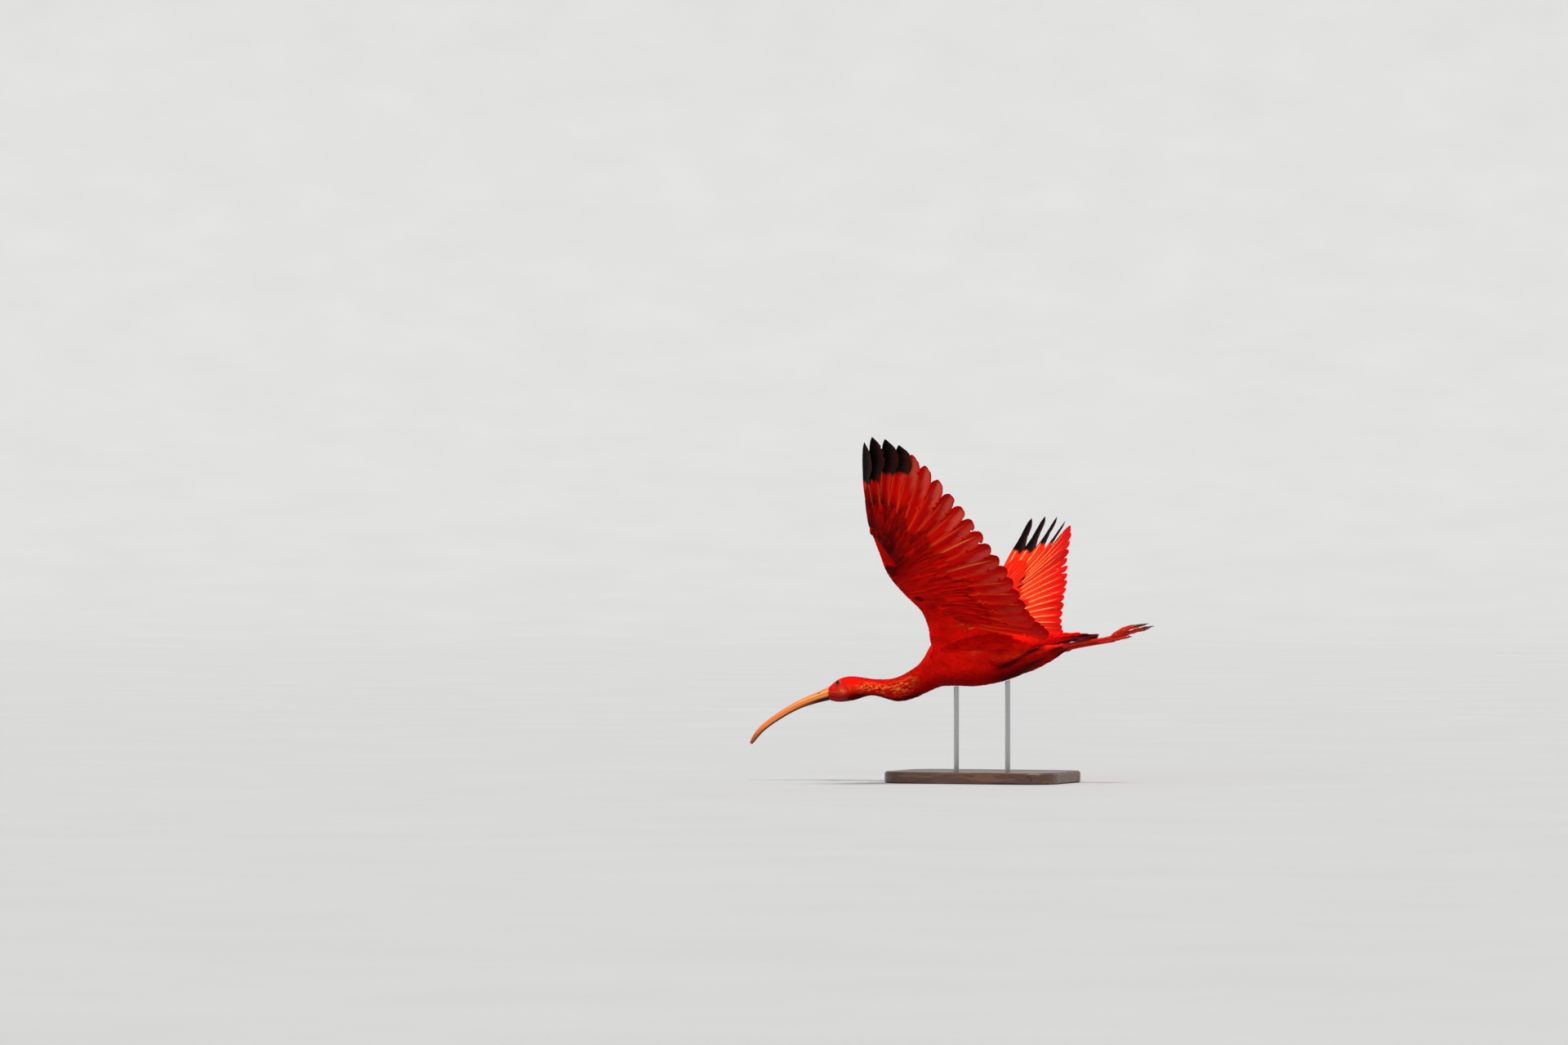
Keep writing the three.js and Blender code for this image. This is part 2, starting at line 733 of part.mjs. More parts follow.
// The feathers leave room for the thighs and shanks that lie under them
function tail() {
  const feathers = TAIL_COVERTS.flatMap(tailCoverts);
  for (let pair = 0; pair < TAIL.pairs; pair++)
    for (const side of [-1, 1]) feathers.push(tailFeather(pair, side));
  const legs = [limbFrom(THIGH, THIGH_SIDES, GAP), limbFrom(SHANK, SHANK_SIDES, GAP)];
  const rightRoom = Manifold.union(legs);
  const clear = Manifold.union(feathers).subtract(rightRoom).subtract(rightRoom.mirror([0, 1, 0]));
  return bodyLength(TAIL_CONE, VENT - GAP, tailEnd, TAIL_PARTS).add(clear);
}

// Bill

function billFrames(steps) {
  const rows = BILL_LINE.map(([forward, up], i) => [i, forward, up, BILL_DEPTH[i], BILL_WIDTH[i]]);
  return Array.from({ length: steps + 1 }, (_, k) => {
    const at = ((rows.length - 1) * k) / steps;
    const [forward, up, depth, width] = alongTable(rows, at);
    const [nextForward, nextUp] = alongTable(rows, Math.min(at + 0.05, rows.length - 1));
    const [priorForward, priorUp] = alongTable(rows, Math.max(at - 0.05, 0));
    const along = point(nextForward - priorForward, 0, nextUp - priorUp).normalize();
    const normal = along.cross(new THREE.Vector3(0, 1, 0));
    if (normal.z < 0) normal.negate();
    return { centre: point(forward, 0, up), normal, depth, width };
  });
}

function billHalf(section, side) {
  const rings = billFrames(BILL_STEPS).map(({ centre, normal, depth, width }) =>
    section.map(([across, up]) =>
      centre
        .clone()
        .add(new THREE.Vector3(0, across * width, 0))
        .addScaledVector(normal, (side * GAP) / 2 + up * depth),
    ),
  );
  return loft(rings);
}

// A slit on each side of the upper bill, near its root
function nostril(side) {
  const { forward, long, high, deep, share } = NOSTRIL;
  const frames = billFrames(60);
  const away = (frame, x) => Math.abs(frame.centre.x - x);
  const near = (x) =>
    frames.reduce((best, frame) => (away(frame, x) < away(best, x) ? frame : best));
  const taper = [0.25, 0.85, 1, 0.85, 0.25];
  const centres = taper.map((_, k) => {
    const along = (k / (taper.length - 1) - 0.5) * long;
    const { centre, normal, depth, width } = near(-forward - along);
    return centre
      .clone()
      .addScaledVector(normal, depth * share)
      .setY(side * width * 0.86);
  });
  const halfOut = taper.map((full) => full * deep);
  const halfUp = taper.map((full) => (full * high) / 2);
  return limb(centres, halfOut, halfUp, 8);
}

// Everything of the bird, in its own frame
const bird = new THREE.Group();
const half = GAP / 2;
const torso = bodyLength(BODY, VENT, NECK_BASE - half, TORSO_PARTS);
const torsoGrown = bodyLength(BODY, VENT, NECK_BASE - half, TORSO_PARTS, GAP);
const neckLower = bodyLength(BODY, NECK_BASE + half, NECK_MIDDLE - half, NECK_LOWER_PARTS);
const neckUpper = bodyLength(BODY, NECK_MIDDLE + half, NAPE - half, NECK_UPPER_PARTS);
bird.add(
  node("torso", torso, MATERIALS.plumage),
  node("neck_lower", neckLower, MATERIALS.plumage),
  node("neck_upper", neckUpper, MATERIALS.plumage),
);

// Head with its eyes set in
function ball(centre, radius) {
  return solidOf(new THREE.SphereGeometry(radius, 12, 8)).translate(centre.toArray());
}

// A ring of skin around the eye
function lids(centre, looks) {
  const turn = new THREE.Quaternion().setFromUnitVectors(new THREE.Vector3(0, 0, 1), looks);
  const place = centre.clone().addScaledVector(looks, EYE.lidOut);
  const ring = new THREE.TorusGeometry(EYE.lidRadius, EYE.lid, 5, 12)
    .applyQuaternion(turn)
    .translate(...place.toArray());
  return solidOf(ring);
}

// The line of the mouth runs on into the cheeks, under the eyes
function gapeCut() {
  const [start] = billFrames(1);
  const front = start.centre;
  const back = point(GAPE.forward, 0, GAPE.up);
  const along = back.clone().sub(front);
  const slot = new THREE.BoxGeometry(along.length() + 2, GAPE.wide, GAPE.high)
    .rotateY(-Math.atan2(along.z, along.x))
    .translate(...front.clone().lerp(back, 0.5).toArray());
  const kept = bodyLength(BODY, NAPE - 10, FACE + 2, HEAD_PARTS, -GAPE.deep);
  return solidOf(slot).subtract(kept);
}

let head = bodyLength(BODY, NAPE + half, FACE, HEAD_PARTS);
for (const side of [-1, 1]) {
  const centre = point(EYE.forward, side * EYE.out, EYE.up);
  const [forward, out, up] = EYE_LOOKS;
  const looks = point(forward, side * out, up).normalize();
  head = head.add(lids(centre, looks)).subtract(ball(centre, EYE.radius + GAP));
  bird.add(node(side < 0 ? "eye_left" : "eye_right", ball(centre, EYE.radius), MATERIALS.eye));
}
head = head.subtract(gapeCut());

const faceCut = bodyLength(BODY, NAPE, FACE + GAP, HEAD_PARTS, GAP);
const nostrils = nostril(-1).add(nostril(1));
const upperBill = billHalf(UPPER_SECTION, 1).subtract(faceCut).subtract(nostrils);
const lowerBill = billHalf(LOWER_SECTION, -1).subtract(faceCut);
bird.add(
  node("head", head, MATERIALS.skin),
  node("bill_upper", upperBill, MATERIALS.bill),
  node("bill_lower", lowerBill, MATERIALS.bill),
);

// Legs trail straight back under the tail

// A toe swells at each joint and ends in a tapered claw
function toe({ joints, tip, arch, thick, claw }) {
  const from = point(...TOE_JOINT);
  const to = point(...tip);
  const along = to.clone().sub(from);
  const rise = new THREE.Vector3(0, 0, arch);
  const centres = [];
  const radii = [];
  for (let k = 0; k <= joints * 2; k++) {
    const t = k / (joints * 2);
    centres.push(from.clone().addScaledVector(along, t).addScaledVector(rise, 4 * t * (1 - t)));
    radii.push(thick * (1 - 0.3 * t) * (k % 2 === 0 ? BETWEEN_PADS : 1));
  }
  const onward = along.clone().normalize();
  for (const [share, radius] of CLAW) {
    const drop = new THREE.Vector3(0, 0, -CLAW_DROP * share * share);
    centres.push(to.clone().addScaledVector(onward, claw * share).add(drop));
    radii.push(radius);
  }
  return limb(centres, radii, radii, 6);
}

function foot() {
  return Manifold.union([ball(point(...TOE_JOINT), TOE_JOINT_RADIUS), ...TOES.map(toe)]);
}

const tailSolid = tail();
const tailGrown = bodyLength(TAIL_CONE, VENT, tailEnd, TAIL_PARTS, GAP);
const rightShank = limbFrom(SHANK, SHANK_SIDES);
const [shankForward, shankOut, shankUp] = lastOf(SHANK);
// Room that the foot leaves for the shank
const shankRoom = limbFrom(
  [
    [shankForward + 30, shankOut, shankUp, 8, 8],
    [shankForward - GAP, shankOut, shankUp, 8, 8],
  ],
  12,
);
const rightThigh = limbFrom(THIGH, THIGH_SIDES).subtract(torsoGrown).subtract(tailGrown);
const rightFoot = foot().subtract(shankRoom);

bird.add(node("tail", tailSolid, MATERIALS.plumage));
for (const label of ["right", "left"]) {
  const turned = (solid) => (label === "left" ? solid.mirror([0, 1, 0]) : solid);
  const wingSolid = wing(label).subtract(torsoGrown).subtract(tailGrown);
  bird.add(
    node(`wing_${label}`, turned(wingSolid), MATERIALS.plumage),
    node(`thigh_${label}`, turned(rightThigh), MATERIALS.plumage),
    node(`shank_${label}`, turned(rightShank), MATERIALS.skin),
    node(`foot_${label}`, turned(rightFoot), MATERIALS.skin),
  );
}

// The bird is pitched and banked, then held over the stand
const pitch = THREE.MathUtils.degToRad(NOSE_DOWN);
const bank = THREE.MathUtils.degToRad(BANK_RIGHT);
bird.rotation.set(-bank, -pitch, 0, "YXZ");
bird.updateMatrix();
const overStand = point(-STAND_CENTRE_BEHIND_SHOULDER, 0, 0).applyMatrix4(bird.matrix);
bird.position.set(-overStand.x, -overStand.y, SHOULDER_HEIGHT);

// Stand
function standBase() {
  const { long, wide, high, corner, edge } = BASE;
  const outline = new THREE.Shape();
  const x = long / 2 - edge;
  const y = wide / 2 - edge;
  outline.moveTo(-x + corner, -y);
  outline.lineTo(x - corner, -y);
  outline.absarc(x - corner, -y + corner, corner, -Math.PI / 2, 0);
  outline.lineTo(x, y - corner);
  outline.absarc(x - corner, y - corner, corner, 0, Math.PI / 2);
  outline.lineTo(-x + corner, y);
  outline.absarc(-x + corner, y - corner, corner, Math.PI / 2, Math.PI);
  outline.lineTo(-x, -y + corner);
  outline.absarc(-x + corner, -y + corner, corner, Math.PI, 1.5 * Math.PI);
  const body = new THREE.ExtrudeGeometry(outline, {
    depth: high - 2 * edge,
    bevelSize: edge,
    bevelThickness: edge,
    bevelSegments: 1,
    curveSegments: 6,
  }).translate(0, 0, edge);
  return solidOf(body);
}

bird.updateMatrix();
const torsoInPlace = solidOf(geometryOf(torso).applyMatrix4(bird.matrix));
function rod(behindShoulder) {
  const under = point(-behindShoulder, 0, 0).applyMatrix4(bird.matrix);
  const top = under.z;
  const bottom = BASE.high + GAP;
  const bar = new THREE.CylinderGeometry(ROD.radius, ROD.radius, top - bottom, 24)
    .rotateX(Math.PI / 2)
    .translate(under.x, under.y, (top + bottom) / 2);
  return solidOf(bar).subtract(torsoInPlace.translate([0, 0, -GAP]));
}

const model = new THREE.Group();
model.add(
  bird,
  node("stand_base", standBase(), MATERIALS.wood),
  node("stand_rod_front", rod(ROD.frontBehindShoulder), MATERIALS.steel),
  node("stand_rod_rear", rod(ROD.rearBehindShoulder), MATERIALS.steel),
);

export default model;
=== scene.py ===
import bpy
import math
import numpy as np
from functools import partial
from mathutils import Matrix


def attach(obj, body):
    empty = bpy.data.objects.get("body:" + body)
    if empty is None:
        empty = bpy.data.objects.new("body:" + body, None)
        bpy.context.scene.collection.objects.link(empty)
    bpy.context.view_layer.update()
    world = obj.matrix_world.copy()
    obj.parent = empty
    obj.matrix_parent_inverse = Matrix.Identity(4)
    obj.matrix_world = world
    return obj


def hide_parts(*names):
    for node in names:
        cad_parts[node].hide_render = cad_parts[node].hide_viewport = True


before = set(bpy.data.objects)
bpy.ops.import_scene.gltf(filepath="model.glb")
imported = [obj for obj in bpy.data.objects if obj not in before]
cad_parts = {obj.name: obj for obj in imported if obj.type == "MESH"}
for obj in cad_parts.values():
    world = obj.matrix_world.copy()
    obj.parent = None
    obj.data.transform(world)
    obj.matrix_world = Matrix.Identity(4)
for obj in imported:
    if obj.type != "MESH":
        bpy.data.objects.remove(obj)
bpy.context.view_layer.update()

print("frame loaded")

# The bird's own frame is in millimetres: x backwards, y to its right, z up, from the shoulder line
flight = {"noseDown": 11.7, "bankRight": 10.1, "shoulderHeight": 198, "behindShoulder": 62}
pitch, bank = math.radians(flight["noseDown"]), math.radians(flight["bankRight"])
birdTurn = np.array([
    [math.cos(pitch), 0, math.sin(pitch)],
    [math.sin(bank) * math.sin(pitch), math.cos(bank), -math.sin(bank) * math.cos(pitch)],
    [-math.cos(bank) * math.sin(pitch), math.sin(bank), math.cos(bank) * math.cos(pitch)],
])
shoulder = np.array([-flight["behindShoulder"] * math.cos(pitch), 0, flight["shoulderHeight"]])
dice = np.random.default_rng(11)
flips = {"right": 1, "left": -1}


def inWorld(points):
    return (np.asarray(points, float) @ birdTurn + shoulder) / 1000


def unit(vectors):
    vectors = np.asarray(vectors, float)
    return vectors / np.maximum(np.linalg.norm(vectors, axis=-1, keepdims=True), 1e-9)


def mirrored(points):
    return points * [1, -1, 1]


def dot(a, b):
    return np.sum(a * b, axis=-1, keepdims=True)


def smooth(value, low, high):
    t = np.clip((np.asarray(value, float) - low) / (high - low), 0, 1)
    return t * t * (3 - 2 * t)


def blend(a, b, share):
    return a + (b - a) * share


def readTable(rows, at):
    # Reads rows smoothly along their first column
    table = np.array(rows, float)
    if table[0, 0] > table[-1, 0]:
        table = table[::-1]
    keys = table[:, 0]
    at = np.asarray(at, float)
    i = np.clip(np.searchsorted(keys, at) - 1, 0, len(keys) - 2)
    before, after = np.maximum(i - 1, 0), np.minimum(i + 2, len(keys) - 1)
    step = keys[i + 1] - keys[i]
    t = ((at - keys[i]) / step)[..., None]
    slopeIn = (table[i + 1] - table[before]) / (keys[i + 1] - keys[before])[..., None] * step[..., None]
    slopeOut = (table[after] - table[i]) / (keys[after] - keys[i])[..., None] * step[..., None]
    t2, t3 = t * t, t * t * t
    row = (2 * t3 - 3 * t2 + 1) * table[i] + (t3 - 2 * t2 + t) * slopeIn
    return (row + (3 * t2 - 2 * t3) * table[i + 1] + (t3 - t2) * slopeOut)[..., 1:]


# Body profile: forward, top, bottom, half width
bodyRows = [
    [-224, -13, -18, 9], [-204, -8, -20, 14], [-186, -2.5, -24.5, 20], [-168, 4.5, -32, 26],
    [-150, 12.5, -42, 32], [-120, 23, -55, 42], [-90, 32, -60, 48], [-60, 38, -60.5, 51],
    [-36, 39.5, -58.5, 51], [-10, 36, -52.5, 48], [14, 20.5, -48.5, 39], [28, 5.5, -50, 31],
    [42, -5.5, -53, 26], [60, -13, -57, 22], [76, -17.5, -58.5, 20], [90, -19, -57, 18],
    [104, -17.5, -51, 16], [118, -14.5, -43.8, 14.4], [130, -10.5, -40.2, 14.8], [143, -6, -39.2, 16.2],
    [156, -2.8, -39.8, 17.4], [170, -1.4, -40, 17], [181, -2.6, -39.2, 15], [190, -6.4, -37.2, 12],
    [199, -12, -33.6, 9],
]
eye = {"forward": 178, "out": 9.8, "up": -11.8, "radius": 5.2, "looks": [0.2, 0.93, 0.3]}


def bodyRow(forward):
    # Past the tail's root the body's sizes run straight on, along the tail
    held = np.maximum(forward, -218)
    return readTable(bodyRows, held) - np.array([0.175, 0.175, 0]) * np.asarray(held - forward, float)[..., None]


def bodyPoint(forward, angle, grow=0):
    row = bodyRow(forward)
    top, bottom, half = row[..., 0], row[..., 1], row[..., 2]
    egg = blend(0.12, -0.08, smooth(forward, 18, 136))
    out = (half + grow) * np.cos(angle) * (1 + egg * np.sin(angle))
    up = (top + bottom) / 2 + ((top - bottom) / 2 + grow) * np.sin(angle)
    return np.stack([-np.asarray(forward, float) + 0 * out, out, up], -1)


def coatDepth(forward):
    # How far the skin lies under the feathers' outline
    return 2.6 - 0.1 * smooth(forward, 20, 60) - 2.0 * smooth(forward, 132, 163)


# The furrow between flank and thigh and the mouth's line, as heights for a place along the bird
furrow = {
    "forward": [-170, -149, -136, -119, -98, -80], "up": [-23.5, -29.7, -35.2, -42.2, -46.1, -48],
    "deep": 2.0, "wide": 2.6,
}
mouth = {"from": 169, "long": 28, "up": -28.8, "rise": 7.0, "bend": 2.2}


def furrowAt(forward, up):
    line = np.interp(forward, furrow["forward"], furrow["up"])
    back = -np.asarray(forward, float)
    return np.exp(-((up - line) / furrow["wide"]) ** 2) * smooth(back, 78, 104) * (1 - smooth(back, 156, 174))


def mouthUp(forward):
    along = np.clip((np.asarray(forward, float) - mouth["from"]) / mouth["long"], 0, 1)
    return mouth["up"] + mouth["rise"] * along ** mouth["bend"]


def bodyFelt(forward, angle):
    # The skin under the coat, drawn in along the furrow
    sunk = furrow["deep"] * furrowAt(forward, bodyPoint(forward, angle)[..., 2])
    return bodyPoint(forward, angle, -coatDepth(forward) - sunk)


class Surface:
    # A sheet of skin with its own two directions, and its place on the unwrapped skin
    steps = (0.2, 0.01)

    def __init__(self, place, patch, uRange, vRange=(0, 2 * math.pi)):
        self.place, self.patch, self.uRange, self.vRange = place, patch, uRange, vRange

    def unwrap(self, u, v):
        x0, y0, x1, y1 = self.patch
        s = (u - self.uRange[0]) / (self.uRange[1] - self.uRange[0])
        t = ((v - self.vRange[0]) / (self.vRange[1] - self.vRange[0])) % 1.0
        return np.stack([blend(x0, x1, t), blend(y0, y1, np.clip(s, 0, 1))], -1)

    def slopes(self, u, v):
        du, dv = self.steps
        alongU = (self.place(u + du, v) - self.place(u - du, v)) / (2 * du)
        return alongU, (self.place(u, v + dv) - self.place(u, v - dv)) / (2 * dv)


bodySkin = Surface(bodyFelt, (0.01, 0.01, 0.45, 0.99), (-224, 199))
armPatch = {label: (x, 0.01, x + 0.14, 0.99) for label, x in (("right", 0.46), ("left", 0.61))}

# Arm and hand: number, leading edge, trailing edge, thickness
wingRows = [
    [25, 7, 34, 2, -104, 40, 8, 25], [23, 3, 54, 13, -96, 56, 22, 20], [20, -8, 86, 30, -88, 84, 36, 15],
    [16.8, -12, 120, 49, -80, 112, 51, 12.5], [13.1, -3, 158, 70, -62, 149, 71, 11],
    [9.5, 5, 195, 95, -46, 187, 98, 10], [5, 3, 226, 121, -34, 219, 126, 7.5],
    [0, -1, 262, 152, -20, 254, 152, 4.6], [-2, -4, 276, 166, -13, 271, 165, 2.2],
]
airfoil = np.array([
    [0, 0], [0.07, 0.36], [0.28, 0.56], [0.62, 0.34], [1, 0.05],
    [1, -0.05], [0.62, -0.24], [0.28, -0.42], [0.07, -0.32],
])


def foilAt(s):
    # A smooth closed run round the wing's section, s from 0 at the leading edge over the top and back below
    count = len(airfoil)
    x = (np.asarray(s, float) % 1.0) * count
    i = np.floor(x).astype(int)
    t = (x - i)[..., None]
    p0, p1, p2, p3 = (airfoil[(i + k) % count] for k in (-1, 0, 1, 2))
    bend, twist = 2 * p0 - 5 * p1 + 4 * p2 - p3, 3 * p1 - p0 - 3 * p2 + p3
    return 0.5 * (2 * p1 + (p2 - p0) * t + bend * t * t + twist * t ** 3)


def wingSlice(number):
    # The arm's leading edge, chord, upward way and thickness at a place along it
    row, ways = readTable(wingRows, number), [-1, 1, 1]
    lead, trail = row[..., 0:3] * ways, row[..., 3:6] * ways
    span = (readTable(wingRows, number - 0.2) - readTable(wingRows, number + 0.2))[..., 0:3] * ways
    upper = unit(np.cross(span, trail - lead))
    return lead, trail - lead, np.where(upper[..., 2:3] < 0, -upper, upper), row[..., 6:7]


def corePoint(number, s, grow):
    number, s = np.broadcast_arrays(np.asarray(number, float), np.asarray(s, float))
    lead, chord, upper, thick = wingSlice(number)
    foil, chordWay = foilAt(s), unit(chord)
    reach = np.linalg.norm(chord, axis=-1, keepdims=True) + 2 * grow
    rise = upper * np.maximum(thick + 2 * grow, 0.6) * foil[..., 1:2]
    return lead - chordWay * grow + chordWay * reach * foil[..., 0:1] + rise


# Lines that the flight feathers start and end on, numbered from the outermost primary
rootLine = [[0, -7, 254, 146], [9, -18, 200, 101], [15, -43, 139, 63], [21, -61, 76, 30]]
tipLine = [
    [0, -42, 356, 272], [1, -60, 369, 273], [3, -97, 357, 256], [5, -118, 313, 224], [7, -133, 257, 186],
    [10, -151, 188, 130], [13, -163, 127, 80], [17, -170, 68, 17], [21, -186, 36, -11],
]
freeTips = {
    "right": {"shift": [-4, 8, 4], "twist": 28, "open": 0.62},
    "left": {"shift": [-2, 4, -5], "twist": 3, "open": 2.2},
}
# Outlines of the vanes: share of the length, width ahead of the shaft and behind it
fingerShape = [
    [0, 2.5, 3.5], [0.28, 6, 13], [0.56, 5.6, 15.5], [0.72, 3.8, 12.5], [0.86, 3.5, 11.5], [0.95, 2.8, 8],
    [1, 0.7, 0.9],
]
primaryShape = [[0, 3, 4], [0.3, 8, 15], [0.65, 9, 20], [0.86, 9, 19], [0.96, 7, 14], [0.99, 4, 8], [1, 1.4, 2]]
pointedShape = [[0, 3, 4], [0.3, 8, 15], [0.65, 9, 20], [0.86, 9, 19], [0.94, 7.5, 14], [0.98, 4, 7.5], [1, 0.8, 1.4]]
secondaryShape = [[0, 4, 5], [0.35, 10, 16], [0.75, 12, 19], [0.93, 10, 16], [0.985, 6, 9], [1, 2, 3]]
covertShape = [[0, 3, 4], [0.4, 8, 10.5], [0.7, 7.4, 9.4], [0.9, 4.6, 5.8], [1, 1, 1.3]]
flights = 22


def onLine(line, number):
    return readTable(line, number) * [-1, 1, 1]


def tipAt(number, label):
    shift = np.array(freeTips[label]["shift"]) * [-1, 1, 1]
    return onLine(tipLine, number) + shift * (1 - smooth(number, 3, 9))


def neighbours(number):
    return max(number - 0.5, 0), min(number + 0.5, flights - 1)


def sheetPoint(label, number, t):
    # A point of the sheet in which the wing's feathers lie, t from the feather's root to its tip
    outer, inner = neighbours(number)
    root = onLine(rootLine, number)
    along = tipAt(number, label) - root
    outward = onLine(rootLine, outer) + tipAt(outer, label) - onLine(rootLine, inner) - tipAt(inner, label)
    upper = unit(np.cross(along, outward))
    upper = -upper if upper[2] < 0 else upper
    ahead = unit(np.cross(upper, along))
    ahead = -ahead if ahead @ outward < 0 else ahead
    inward = smooth(number, 2, 10)
    t = np.asarray(t, float)[:, None]
    arch = np.where(t > 0, 4 * t * (1 - t) * np.linalg.norm(along), 0)
    return root + along * t - upper * blend(0.06, -0.02, inward) * arch + ahead * blend(0.012, 0.008, inward) * arch


def sheetFrame(label, number, t, featherStep, face, extraTilt, flat=1.0):
    # Middle line and cross directions of a feather that lies in the sheet, tilted to overlap the next one
    outer, inner = neighbours(number)
    along = unit(sheetPoint(label, number, t + 0.02) - sheetPoint(label, number, t - 0.02))
    across = sheetPoint(label, outer, t) - sheetPoint(label, inner, t)
    across = across - dot(across, along) * along
    spacing = np.linalg.norm(across, axis=-1, keepdims=True) / (inner - outer)
    across = unit(across)
    upper = np.cross(along, across)
    upper = np.where(upper[:, 2:3] < 0, -upper, upper)
    step = 1.5 + 0.03 * spacing
    louvre = np.arcsin(np.minimum(step / (spacing * featherStep), 0.45))
    tilt = face * louvre * flat + np.radians(extraTilt).reshape(-1, 1)
    return {
        "centre": sheetPoint(label, number, t), "upper": upper, "spacing": spacing[:, 0], "step": step[:, 0],
        "side": across * np.cos(tilt) + upper * np.sin(tilt), "up": upper * np.cos(tilt) - across * np.sin(tilt),
    }


# Meshes


def deselectAll():
    if bpy.context.object and bpy.context.object.mode != "OBJECT":
        bpy.ops.object.mode_set(mode="OBJECT")
    bpy.ops.object.select_all(action="DESELECT")


def pick(piece):
    deselectAll()
    piece.select_set(True)
    bpy.context.view_layer.objects.active = piece


def closeUp(inward=False, merge=0):
    # In edit mode: merges doubles, where asked, and turns all faces outwards, or inwards
    bpy.ops.object.mode_set(mode="EDIT")
    bpy.ops.mesh.select_all(action="SELECT")
    if merge:
        bpy.ops.mesh.remove_doubles(threshold=merge)
    bpy.ops.mesh.normals_make_consistent(inside=inward)
    bpy.ops.object.mode_set(mode="OBJECT")


def crispen(piece):
    pick(piece)
    bpy.ops.object.shade_smooth_by_angle(angle=math.radians(48))


def paint(mesh, tint):
    colour = np.ones((len(mesh.vertices), 4), np.float32)
    colour[:, :3] = tint
    layer = mesh.color_attributes.new(name="tint", type="FLOAT_COLOR", domain="POINT")
    layer.data.foreach_set("color", colour.ravel())


def makeMesh(name, points, faces, bakeUv=None, vaneUv=None, tint=None):
    # One piece from arrays in the bird's frame: faces are all of one corner count
    mesh = bpy.data.meshes.new(name)
    faces = np.asarray(faces, np.int32)
    flat = faces.ravel()
    mesh.vertices.add(len(points))
    mesh.vertices.foreach_set("co", inWorld(points).astype(np.float32).ravel())
    mesh.loops.add(faces.size)
    mesh.loops.foreach_set("vertex_index", flat)
    mesh.polygons.add(len(faces))
    mesh.polygons.foreach_set("loop_start", np.arange(0, faces.size, faces.shape[1], dtype=np.int32))
    for layer, values in (("OFBake", bakeUv), ("vane", vaneUv)):
        if values is not None:
            mesh.uv_layers.new(name=layer).data.foreach_set("uv", values[flat].astype(np.float32).ravel())
    if tint is not None:
        paint(mesh, tint)
    mesh.update(calc_edges=True)
    mesh.validate()
    mesh.shade_smooth()
    piece = bpy.data.objects.new(name, mesh)
    bpy.context.collection.objects.link(piece)
    return piece


def closedTube(name, rings, ends=None, flipped=False, **maps):
    # Rings of points joined into a tube of triangles, each end closed onto one point
    count, around = rings.shape[:2]
    ends = [rings[0].mean(0), rings[-1].mean(0)] if ends is None else ends
    points = np.concatenate([rings.reshape(-1, 3), np.array(ends)])
    ring, k = (grid.ravel() for grid in np.mgrid[0:count - 1, 0:around])
    a, b = ring * around + k, ring * around + (k + 1) % around
    sides = np.stack([a, b, b + around, a, b + around, a + around], -1).reshape(-1, 3)
    k = np.arange(around)
    nextOne, last, total = (k + 1) % around, (count - 1) * around, count * around + 0 * k
    fans = np.stack([nextOne, k, total, last + k, last + nextOne, total + 1], -1).reshape(-1, 3)
    piece = makeMesh(name, mirrored(points) if flipped else points, np.concatenate([sides, fans]), **maps)
    pick(piece)
    closeUp()
    return piece


def skinTube(name, surface, uSteps, sides):
    # Wraps a flat grid into a closed tube of skin
    deselectAll()
    rows = len(uSteps) - 1
    bpy.ops.mesh.primitive_grid_add(x_subdivisions=sides, y_subdivisions=rows, size=2, calc_uvs=True)
    piece = bpy.context.object
    piece.name = piece.data.name = name
    mesh = piece.data
    flat = np.empty(len(mesh.vertices) * 3)
    mesh.vertices.foreach_get("co", flat)
    flat = flat.reshape(-1, 3)
    row = np.rint((flat[:, 1] + 1) / 2 * rows).astype(int)
    turn = (flat[:, 0] + 1) / 2
    u = np.array(uSteps)[row]
    points = surface.place(u, blend(*surface.vRange, turn))
    ring = blend(*surface.vRange, np.arange(32) / 32)
    for end in (0, rows):
        points[row == end] = surface.place(np.full(32, uSteps[end]), ring).mean(0)
    mesh.vertices.foreach_set("co", inWorld(points).ravel())
    # Just short of the full turn, so that the seam's last column keeps its own side of the map
    low, high = surface.vRange
    bake = surface.unwrap(u, blend(0, 0.9999, turn) * (high - low) + low)
    loops = np.empty(len(mesh.loops), np.int32)
    mesh.loops.foreach_get("vertex_index", loops)
    mesh.uv_layers[0].name = "OFBake"
    mesh.uv_layers[0].data.foreach_set("uv", bake[loops].ravel())
    closeUp(merge=1e-6)
    mesh.shade_smooth()
    return piece


def addSolid(piece, other, operation="UNION"):
    # Joins another closed piece to this one, or cuts it away, and removes it
    pick(piece)
    step = piece.modifiers.new("join", "BOOLEAN")
    step.operation, step.solver, step.object = operation, "MANIFOLD", other
    bpy.ops.object.modifier_apply(modifier=step.name)
    bpy.data.objects.remove(other)


# Vanes of the large feathers

columns = np.array([-1, -0.72, -0.42, -0.14, -0.045, 0, 0.045, 0.14, 0.42, 0.72, 1])


